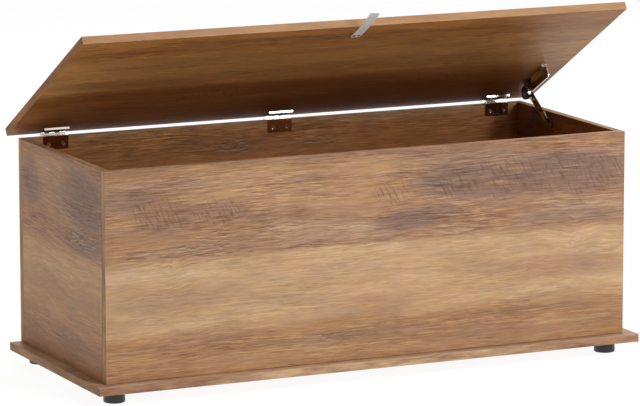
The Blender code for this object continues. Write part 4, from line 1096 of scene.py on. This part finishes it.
@dataclass(frozen=True)
class Board:
    """One board, with the decors of its two faces and its edge bands.

    Each decor comes with the sign of its run along the grain. A negative sign means that the
    grain map starts at the high side. The outer sign tells which face is the outer one.
    """

    node: str
    grain: Axis
    across: Axis
    across_sign: int
    outer: tuple[Decor, int]
    inner: tuple[Decor, int]
    outer_sign: int
    edging: EdgeBand = EDGING
    ends: EdgeBand = EDGING
    body: Body = Body.BOX

    @property
    def thickness(self) -> Axis:
        """The direction through the board."""
        return next(axis for axis in Axis if axis not in (self.grain, self.across))

    def build(self, closed: Matrix) -> None:
        """Args:
            closed: The turn that lays the board square to the axes.
        """
        shape = merged_copy(self.node)
        bmesh.ops.transform(shape, matrix=closed, verts=shape.verts)
        bmesh.ops.recalc_face_normals(shape, faces=shape.faces)
        low, high = span(vertex.co for vertex in shape.verts)
        grain_map = shape.loops.layers.uv.new(GRAIN_MAP)
        for face in shape.faces:
            face.smooth = True
            facing = max(Axis, key=lambda axis: abs(face.normal[axis.value]))
            if facing == self.thickness:
                face.material_index = 0 if face.normal[facing.value] * self.outer_sign > 0 else 1
                sign = (self.outer, self.inner)[face.material_index][1]
                runs = ((self.grain, sign), (self.across, self.across_sign))
            else:
                face.material_index = 3 if facing == self.grain else 2
                runs = ((self.across if facing == self.grain else self.grain, 1), (self.thickness, 1))
            for loop in face.loops:
                spot = loop.vert.co
                loop[grain_map].uv = [
                    spot[axis.value] - low[axis.value] if sign > 0 else high[axis.value] - spot[axis.value]
                    for axis, sign in runs
                ]
        bmesh.ops.transform(shape, matrix=closed.inverted(), verts=shape.verts)
        blank = shown(self.node + " blank", closed_mesh(shape, self.node))
        for finish in (self.outer[0], self.inner[0], self.edging, self.ends):
            blank.data.materials.append(material_of(finish))
        blank.data.set_sharp_from_angle(angle=SMOOTH_ANGLE)
        weights = blank.modifiers.new("flat faces stay flat", "WEIGHTED_NORMAL")
        weights.keep_sharp = True
        weights.weight = FULL_WEIGHT
        piece = shown("dressed_" + self.node, evaluated_mesh(blank))
        settle(piece, self.body, [self.node])


def closing_turn() -> Matrix:
    """Return the turn about the hinge axis that closes the lid.

    Returns:
        The turn, from the lid's place at rest.
    """
    joint = next(entry for entry in frame["joints"] if entry["name"] == "lid_hinge")
    pivot = Matrix.Translation(joint["pos_m"])
    turn = Matrix.Rotation(math.radians(joint["range_deg"][0]), 4, Vector(joint["axis"]))
    return pivot @ turn @ pivot.inverted()


@dataclass
class Carcass:
    """The five boards that stand still."""

    boards: tuple[Board, ...] = (
        Board("front_panel", Axis.X, Axis.Z, -1, (FRONT_DECOR, 1), (INNER_DECOR, -1), -1, RIM_EDGING),
        Board("back_panel", Axis.X, Axis.Z, -1, (FRONT_DECOR, -1), (INNER_DECOR, 1), 1, RIM_EDGING),
        Board("left_side_panel", Axis.Y, Axis.Z, -1, (SIDE_DECOR, -1), (WALL_DECOR, 1), -1),
        Board("right_side_panel", Axis.Y, Axis.Z, -1, (SIDE_DECOR, -1), (WALL_DECOR, 1), 1),
        Board(
            "base_board", Axis.X, Axis.Y, 1, (BASE_DECOR, 1), (BASE_DECOR, -1), 1,
            BASE_EDGING, BASE_END_EDGING,
        ),
    )

    def build(self) -> None:
        """Make the boards."""
        for board in self.boards:
            board.build(Matrix.Identity(4))


@dataclass
class Lid:
    """The lid board, which hangs open on the hinge axis."""

    board: Board = Board(
        "lid_panel", Axis.X, Axis.Y, 1, (TOP_DECOR, -1), (LID_DECOR, 1), 1,
        LID_EDGING, LID_END_EDGING, Body.LID,
    )

    def build(self) -> None:
        """Make the lid."""
        self.board.build(closing_turn())


# ---- hardware


@dataclass
class Hinges:
    """Three butt hinges: eased leaves and turned pins with domed ends."""

    edge: float = 0.00022
    pin_radius: float = 0.00128
    pin_dome: float = 0.0006
    pin_sides: int = 20
    dome_steps: int = 6

    def build(self) -> None:
        """Make the leaves and the pins."""
        for side in HINGE_SIDES:
            ease(f"hinge_{side}_body_leaf", LEAF_NICKEL, self.edge, Body.BOX)
            ease(f"hinge_{side}_lid_leaf", SHADED_LID_LEAF_NICKEL, self.edge, Body.LID)
        pins = [f"hinge_{side}_pin" for side in HINGE_SIDES]
        boxes = [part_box(pin) for pin in pins]
        half = (boxes[0][1].x - boxes[0][0].x) / 2
        dome = rounding(self.pin_radius, self.pin_radius, self.pin_dome, self.dome_steps)
        outline = [(radius, rise - half) for radius, rise in dome]
        outline += [(radius, -height) for radius, height in reversed(outline)]
        spots = [Spot((low + high) / 2, SIDEWAYS) for low, high in boxes]
        piece = turned_recipe().make("hinge_pins", spots, NICKEL, outline, Sides=self.pin_sides)
        settle(piece, Body.BOX, pins)


@dataclass
class Handle:
    """The brushed strip handle under the front edge of the lid."""

    edge: float = 0.00045
    segments: int = 3

    def build(self) -> None:
        """Make the strip."""
        ease("lid_handle", BRUSHED_NICKEL, self.edge, Body.LID, self.segments)


@dataclass
class LidStay:
    """The stay at the right side: bracket, arm, track plate, and a turned damper drum."""

    edge: float = 0.00025
    drum_radius: float = 0.0127
    drum_width: float = 0.0026
    boss_radius: float = 0.0030
    boss_depth: float = 0.0004
    dish_radius: float = 0.0092
    dish_depth: float = 0.0009
    boss_slope: float = 0.0004
    dish_slope: float = 0.0005
    rim_round: float = 0.0008
    rim_steps: int = 5
    groove: float = 0.0005
    groove_shares: tuple[float, float, float, float] = (0.55, 0.60, 0.70, 0.75)
    washer_radius: float = 0.0124
    washer_edge: float = 0.0003
    spindle_radius: float = 0.004
    cap_gap: float = 0.0002
    arm_gap: float = 0.0003
    bracket: float = 0.0018
    sides: int = 56

    def _drum_profile(self) -> Outline:
        """Return the dark cap's profile, from its dished face outwards."""
        outer, width, dish = self.drum_radius, self.drum_width, self.dish_depth
        depths = (0.0, self.groove, self.groove, 0.0)
        return [
            (0.0, self.boss_depth), (self.boss_radius, self.boss_depth),
            (self.boss_radius + self.boss_slope, dish), (self.dish_radius - self.dish_slope, dish),
            (self.dish_radius, 0.0),
            *rounding(outer, self.rim_round, self.rim_round, self.rim_steps),
            *((outer - depth, width * share) for depth, share in zip(depths, self.groove_shares)),
            (outer, width), (0.0, width),
        ]

    def _washer_profile(self, start: float, width: float, end: float) -> Outline:
        """Return the profile of the bright washer and the spindle that the arm turns on.

        Args:
            start: Where the washer starts behind the cap.
            width: Where it ends, at the bracket.
            end: Where the spindle ends.

        Returns:
            Radii and heights.
        """
        radius, edge = self.washer_radius, self.washer_edge
        return [
            (0.0, start), (radius - edge, start), (radius, start + edge), (radius, width - edge),
            (radius - edge, width), (self.spindle_radius, width), (self.spindle_radius, end - edge),
            (self.spindle_radius - edge, end), (0.0, end),
        ]

    def build(self) -> None:
        """Make the stay's pieces."""
        ease("stay_lid_bracket", NICKEL, self.edge, Body.LID)
        ease("stay_arm", SHADED_ARM_NICKEL, self.edge, Body.LINK)
        ease("stay_track_plate", SHADED_TRACK_STEEL, self.edge, Body.BOX)
        dress_node("stay_pin", SHADED_SCREW_STEEL)
        low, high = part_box("stay_damper")
        bracket_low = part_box("stay_arm")[0].x - low.x - self.arm_gap - self.bracket - self.arm_gap
        washer = self._washer_profile(self.drum_width + self.cap_gap, bracket_low, high.x - low.x)
        spots = [Spot(low_face("stay_damper", Axis.X), SIDEWAYS)]
        for name, outline, finish, slot in (
            ("damper_cap", self._drum_profile(), CAP_PLASTIC, Slot.CAP),
            ("damper_washer", washer, NICKEL, Slot.NICKEL),
        ):
            piece = turned_recipe().make(name, spots, finish, outline, Sides=self.sides)
            settle(piece, Body.LID, ["stay_damper"])


@dataclass
class Feet:
    """Four round moulded feet under the base board."""

    radius: float = 0.0196
    top_radius: float = 0.0190
    height: float = 0.022
    edge: float = 0.0024
    edge_steps: int = 6
    top_edge: float = 0.0004
    bore: float = 0.0023
    seat_radius: float = 0.0045
    seat_depth: float = 0.0024
    recess_radius: float = 0.0065
    recess_depth: float = 0.014
    recess_edge: float = 0.0006
    sides: int = 64

    def _profile(self) -> Outline:
        """Return the foot's outline as a closed loop of radii and heights."""
        recess = self.recess_radius
        return [
            (self.bore, self.height), (self.bore, self.recess_depth + self.seat_depth),
            (self.seat_radius, self.recess_depth), (recess, self.recess_depth),
            (recess, self.recess_edge), (recess + self.recess_edge, 0.0),
            *rounding(self.radius, self.edge, self.edge, self.edge_steps),
            (self.top_radius, self.height - self.top_edge),
            (self.top_radius - self.top_edge, self.height), (self.bore, self.height),
        ]

    def build(self) -> None:
        """Make the feet as one piece."""
        nodes = [f"foot_{corner}" for corner in CORNERS]
        spots = [Spot(low_face(node, Axis.Z), Matrix.Identity(4)) for node in nodes]
        piece = turned_recipe().make("feet", spots, FOOT_PLASTIC, self._profile(), Sides=self.sides)
        settle(piece, Body.BOX, nodes)


@dataclass(frozen=True)
class ScrewSize:
    """The sizes of one kind of screw."""

    head: float
    depth: float
    shank: float
    length: float


@dataclass
class Screws:
    """Countersunk screws: small ones in the hardware, larger ones in the feet and the base."""

    small: ScrewSize = ScrewSize(0.0033, 0.0017, 0.0016, 0.012)
    foot: ScrewSize = ScrewSize(0.0042, 0.0024, 0.002, 0.019)
    base: ScrewSize = ScrewSize(0.005, 0.003, 0.0032, 0.05)
    span_share: float = 1.24
    bar_share: float = 0.36
    depth_share: float = 0.65
    first_stop: float = 23.0
    next_stop: float = 37.0
    sides: int = 24

    def build(self) -> None:
        """Make the groups of screws. The cross of each small one has stopped at another angle."""
        left, front, below = Vector((-1, 0, 0)), Vector((0, -1, 0)), Vector((0, 0, -1))
        down = (closing_turn().inverted().to_3x3() @ below).normalized()
        hinged = [f"hinge_{side}_{{}}_screw_{number}" for side in HINGE_SIDES for number in (1, 2)]
        lid = [name.format("lid") for name in hinged]
        lid += ["handle_screw_left", "handle_screw_right", "stay_lid_screw_1", "stay_lid_screw_2"]
        box = dict.fromkeys([name.format("body") for name in hinged], front)
        box |= dict.fromkeys(["stay_side_screw_1", "stay_side_screw_2"], left)
        for name, body, size, heads in (
            ("lid_screws", Body.LID, self.small, dict.fromkeys(lid, down)),
            ("box_screws", Body.BOX, self.small, box),
            ("foot_screws", Body.BOX, self.foot, {f"foot_screw_{corner}": below for corner in CORNERS}),
            ("base_screws", Body.BOX, self.base, {f"base_screw_{corner}": below for corner in CORNERS}),
        ):
            first, further = (self.first_stop, self.next_stop) if size is self.small else (0.0, 0.0)
            spots = [
                Spot.at_head(node, axis, first + further * number)
                for number, (node, axis) in enumerate(heads.items())
            ]
            piece = screw_recipe().make(
                name, spots, SHADED_SCREW_STEEL, Sides=self.sides,
                Head_radius=size.head, Head_depth=size.depth, Shank_radius=size.shank, Length=size.length,
                Recess_span=size.head * self.span_share, Recess_bar=size.head * self.bar_share,
                Recess_depth=size.depth * self.depth_share,
            )
            settle(piece, body, list(heads))


@dataclass
class CamFittings:
    """The knock-down fittings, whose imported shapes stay."""

    kinds: tuple[str, ...] = ("cam_lock", "cam_bolt")

    def build(self) -> None:
        """Give every cam and bolt its zinc finish."""
        for kind in self.kinds:
            for corner in CORNERS:
                dress_node(f"{kind}_{corner}", ZINC)
        LOG.info("cam fittings: zinc on the packed nodes")


# ---- studio


def heading(bearing: float, rise: float) -> Vector:
    """Return the direction at a bearing from the Y axis towards the X axis, and a rise.

    Args:
        bearing: Degrees round the Z axis.
        rise: Degrees above the floor.

    Returns:
        The direction, of length 1.
    """
    bearing, rise = math.radians(bearing), math.radians(rise)
    return Vector((math.sin(bearing) * math.cos(rise), math.cos(bearing) * math.cos(rise), math.sin(rise)))


@dataclass(frozen=True)
class Lamp:
    """A soft lamp aimed at the box, at an azimuth from the front towards the right."""

    name: str
    azimuth: float
    elevation: float
    distance: float
    width: float
    height: float
    power: float
    tint: Colour = WHITE

    def build(self, target: Vector) -> None:
        """Hang the lamp.

        Args:
            target: What it shines at.
        """
        away = heading(180.0 - self.azimuth, self.elevation)
        light = bpy.data.lights.new(self.name, "AREA")
        light.shape = "RECTANGLE"
        light.size = self.width
        light.size_y = self.height
        light.energy = self.power
        light.color = self.tint
        turn = away.to_track_quat("Z", "Y").to_matrix().to_4x4()
        shown(self.name, light, Matrix.Translation(target + away * self.distance) @ turn)


@dataclass
class Studio:
    """The pale floor, the white surroundings, the lamps and the camera."""

    lamps: tuple[Lamp, ...] = (
        Lamp("key", 20.0, 45.0, 5.0, 1.3, 1.3, 130.0),
        Lamp("front fill", 30.0, 22.0, 6.0, 1.1, 1.6, 117.0),
        Lamp("left", -90.0, 16.0, 6.0, 1.4, 1.2, 71.0, (1.0, 0.93, 0.84)),
        Lamp("right", 100.0, 26.0, 5.0, 2.0, 1.6, 80.0),
        Lamp("rear", 172.0, 50.0, 5.0, 3.0, 2.0, 110.0),
    )
    target: Vector = field(default_factory=lambda: Vector((0.0, 0.0, 0.35)))
    floor_half: float = 40.0
    floor_gap: float = 0.0003
    surround: float = 0.05
    floor_glow: float = 0.93
    floor_bounce: float = 0.55
    floor_colour: float = 0.12
    camera_place: Colour = (-3.28342, -6.96341, 1.66921)
    camera_yaw: float = 25.1824
    camera_pitch: float = -10.1587
    camera_roll: float = -0.0625
    camera_reach: float = 200.0
    lens: float = 239.397
    sensor: float = 36.0

    @staticmethod
    def _seen(graph: Graph, far: float, near: float) -> Value:
        """Return a far strength for rays that show the surroundings, and a near one for light."""
        path, kinds = graph.node("ShaderNodeLightPath"), ("Camera", "Glossy", "Transmission")
        seen = reduce(Value.largest, (graph.output(path, f"Is {kind} Ray") for kind in kinds))
        return near + seen * (far - near)

    def _floor(self) -> None:
        """Lay the floor, white where it is looked at, with the box's soft shadow."""
        mesh = bpy.data.meshes.new("floor")
        half, low = self.floor_half, -self.floor_gap
        corners = [(-half, -half, low), (half, -half, low), (half, half, low), (-half, half, low)]
        mesh.from_pydata(corners, [], [range(4)])
        material = bpy.data.materials.new("pale floor")
        material.use_nodes = True
        graph = Graph(material.node_tree)
        diffuse = graph.made("ShaderNodeBsdfDiffuse", Color=(self.floor_colour,) * 3)
        strength = self._seen(graph, self.floor_glow, self.floor_bounce)
        glow = graph.made("ShaderNodeEmission", Color=WHITE, Strength=strength)
        graph.node("ShaderNodeOutputMaterial", Surface=graph.pair("ShaderNodeAddShader", diffuse, glow))
        mesh.materials.append(material)
        shown("floor", mesh)

    def _surroundings(self) -> None:
        """Make the world white to look at and dim as a light."""
        world = bpy.data.worlds.new("surroundings")
        bpy.context.scene.world = world
        world.use_nodes = True
        graph = Graph(world.node_tree)
        back = graph.made("ShaderNodeBackground", Color=WHITE, Strength=self._seen(graph, 1.0, self.surround))
        graph.node("ShaderNodeOutputWorld", Surface=back)

    def _camera(self) -> None:
        """Set up the camera at the photograph's place."""
        ahead = heading(self.camera_yaw, self.camera_pitch)
        level = heading(self.camera_yaw + 90.0, 0.0)
        up = level.cross(ahead)
        roll = math.radians(self.camera_roll)
        right = level * math.cos(roll) + up * math.sin(roll)
        top = up * math.cos(roll) - level * math.sin(roll)
        data = bpy.data.cameras.new("camera")
        data.lens = self.lens
        data.sensor_fit = "HORIZONTAL"
        data.sensor_width = self.sensor
        data.clip_end = self.camera_reach
        turn = Matrix((right, top, -ahead)).transposed().to_4x4()
        bpy.context.scene.camera = shown("camera", data, Matrix.Translation(self.camera_place) @ turn)

    def build(self) -> None:
        """Set up the studio."""
        bpy.context.scene.view_settings.view_transform = "Standard"
        self._floor()
        self._surroundings()
        self._camera()
        for lamp in self.lamps:
            lamp.build(self.target)
        LOG.info("studio: %d lamps", len(self.lamps))


def main() -> None:
    """Build the box's looks from the boards outwards, then the studio."""
    for part in (Carcass, Lid, Hinges, Handle, LidStay, Feet, Screws, CamFittings, Studio):
        part().build()


if __name__ == "__main__":
    main()
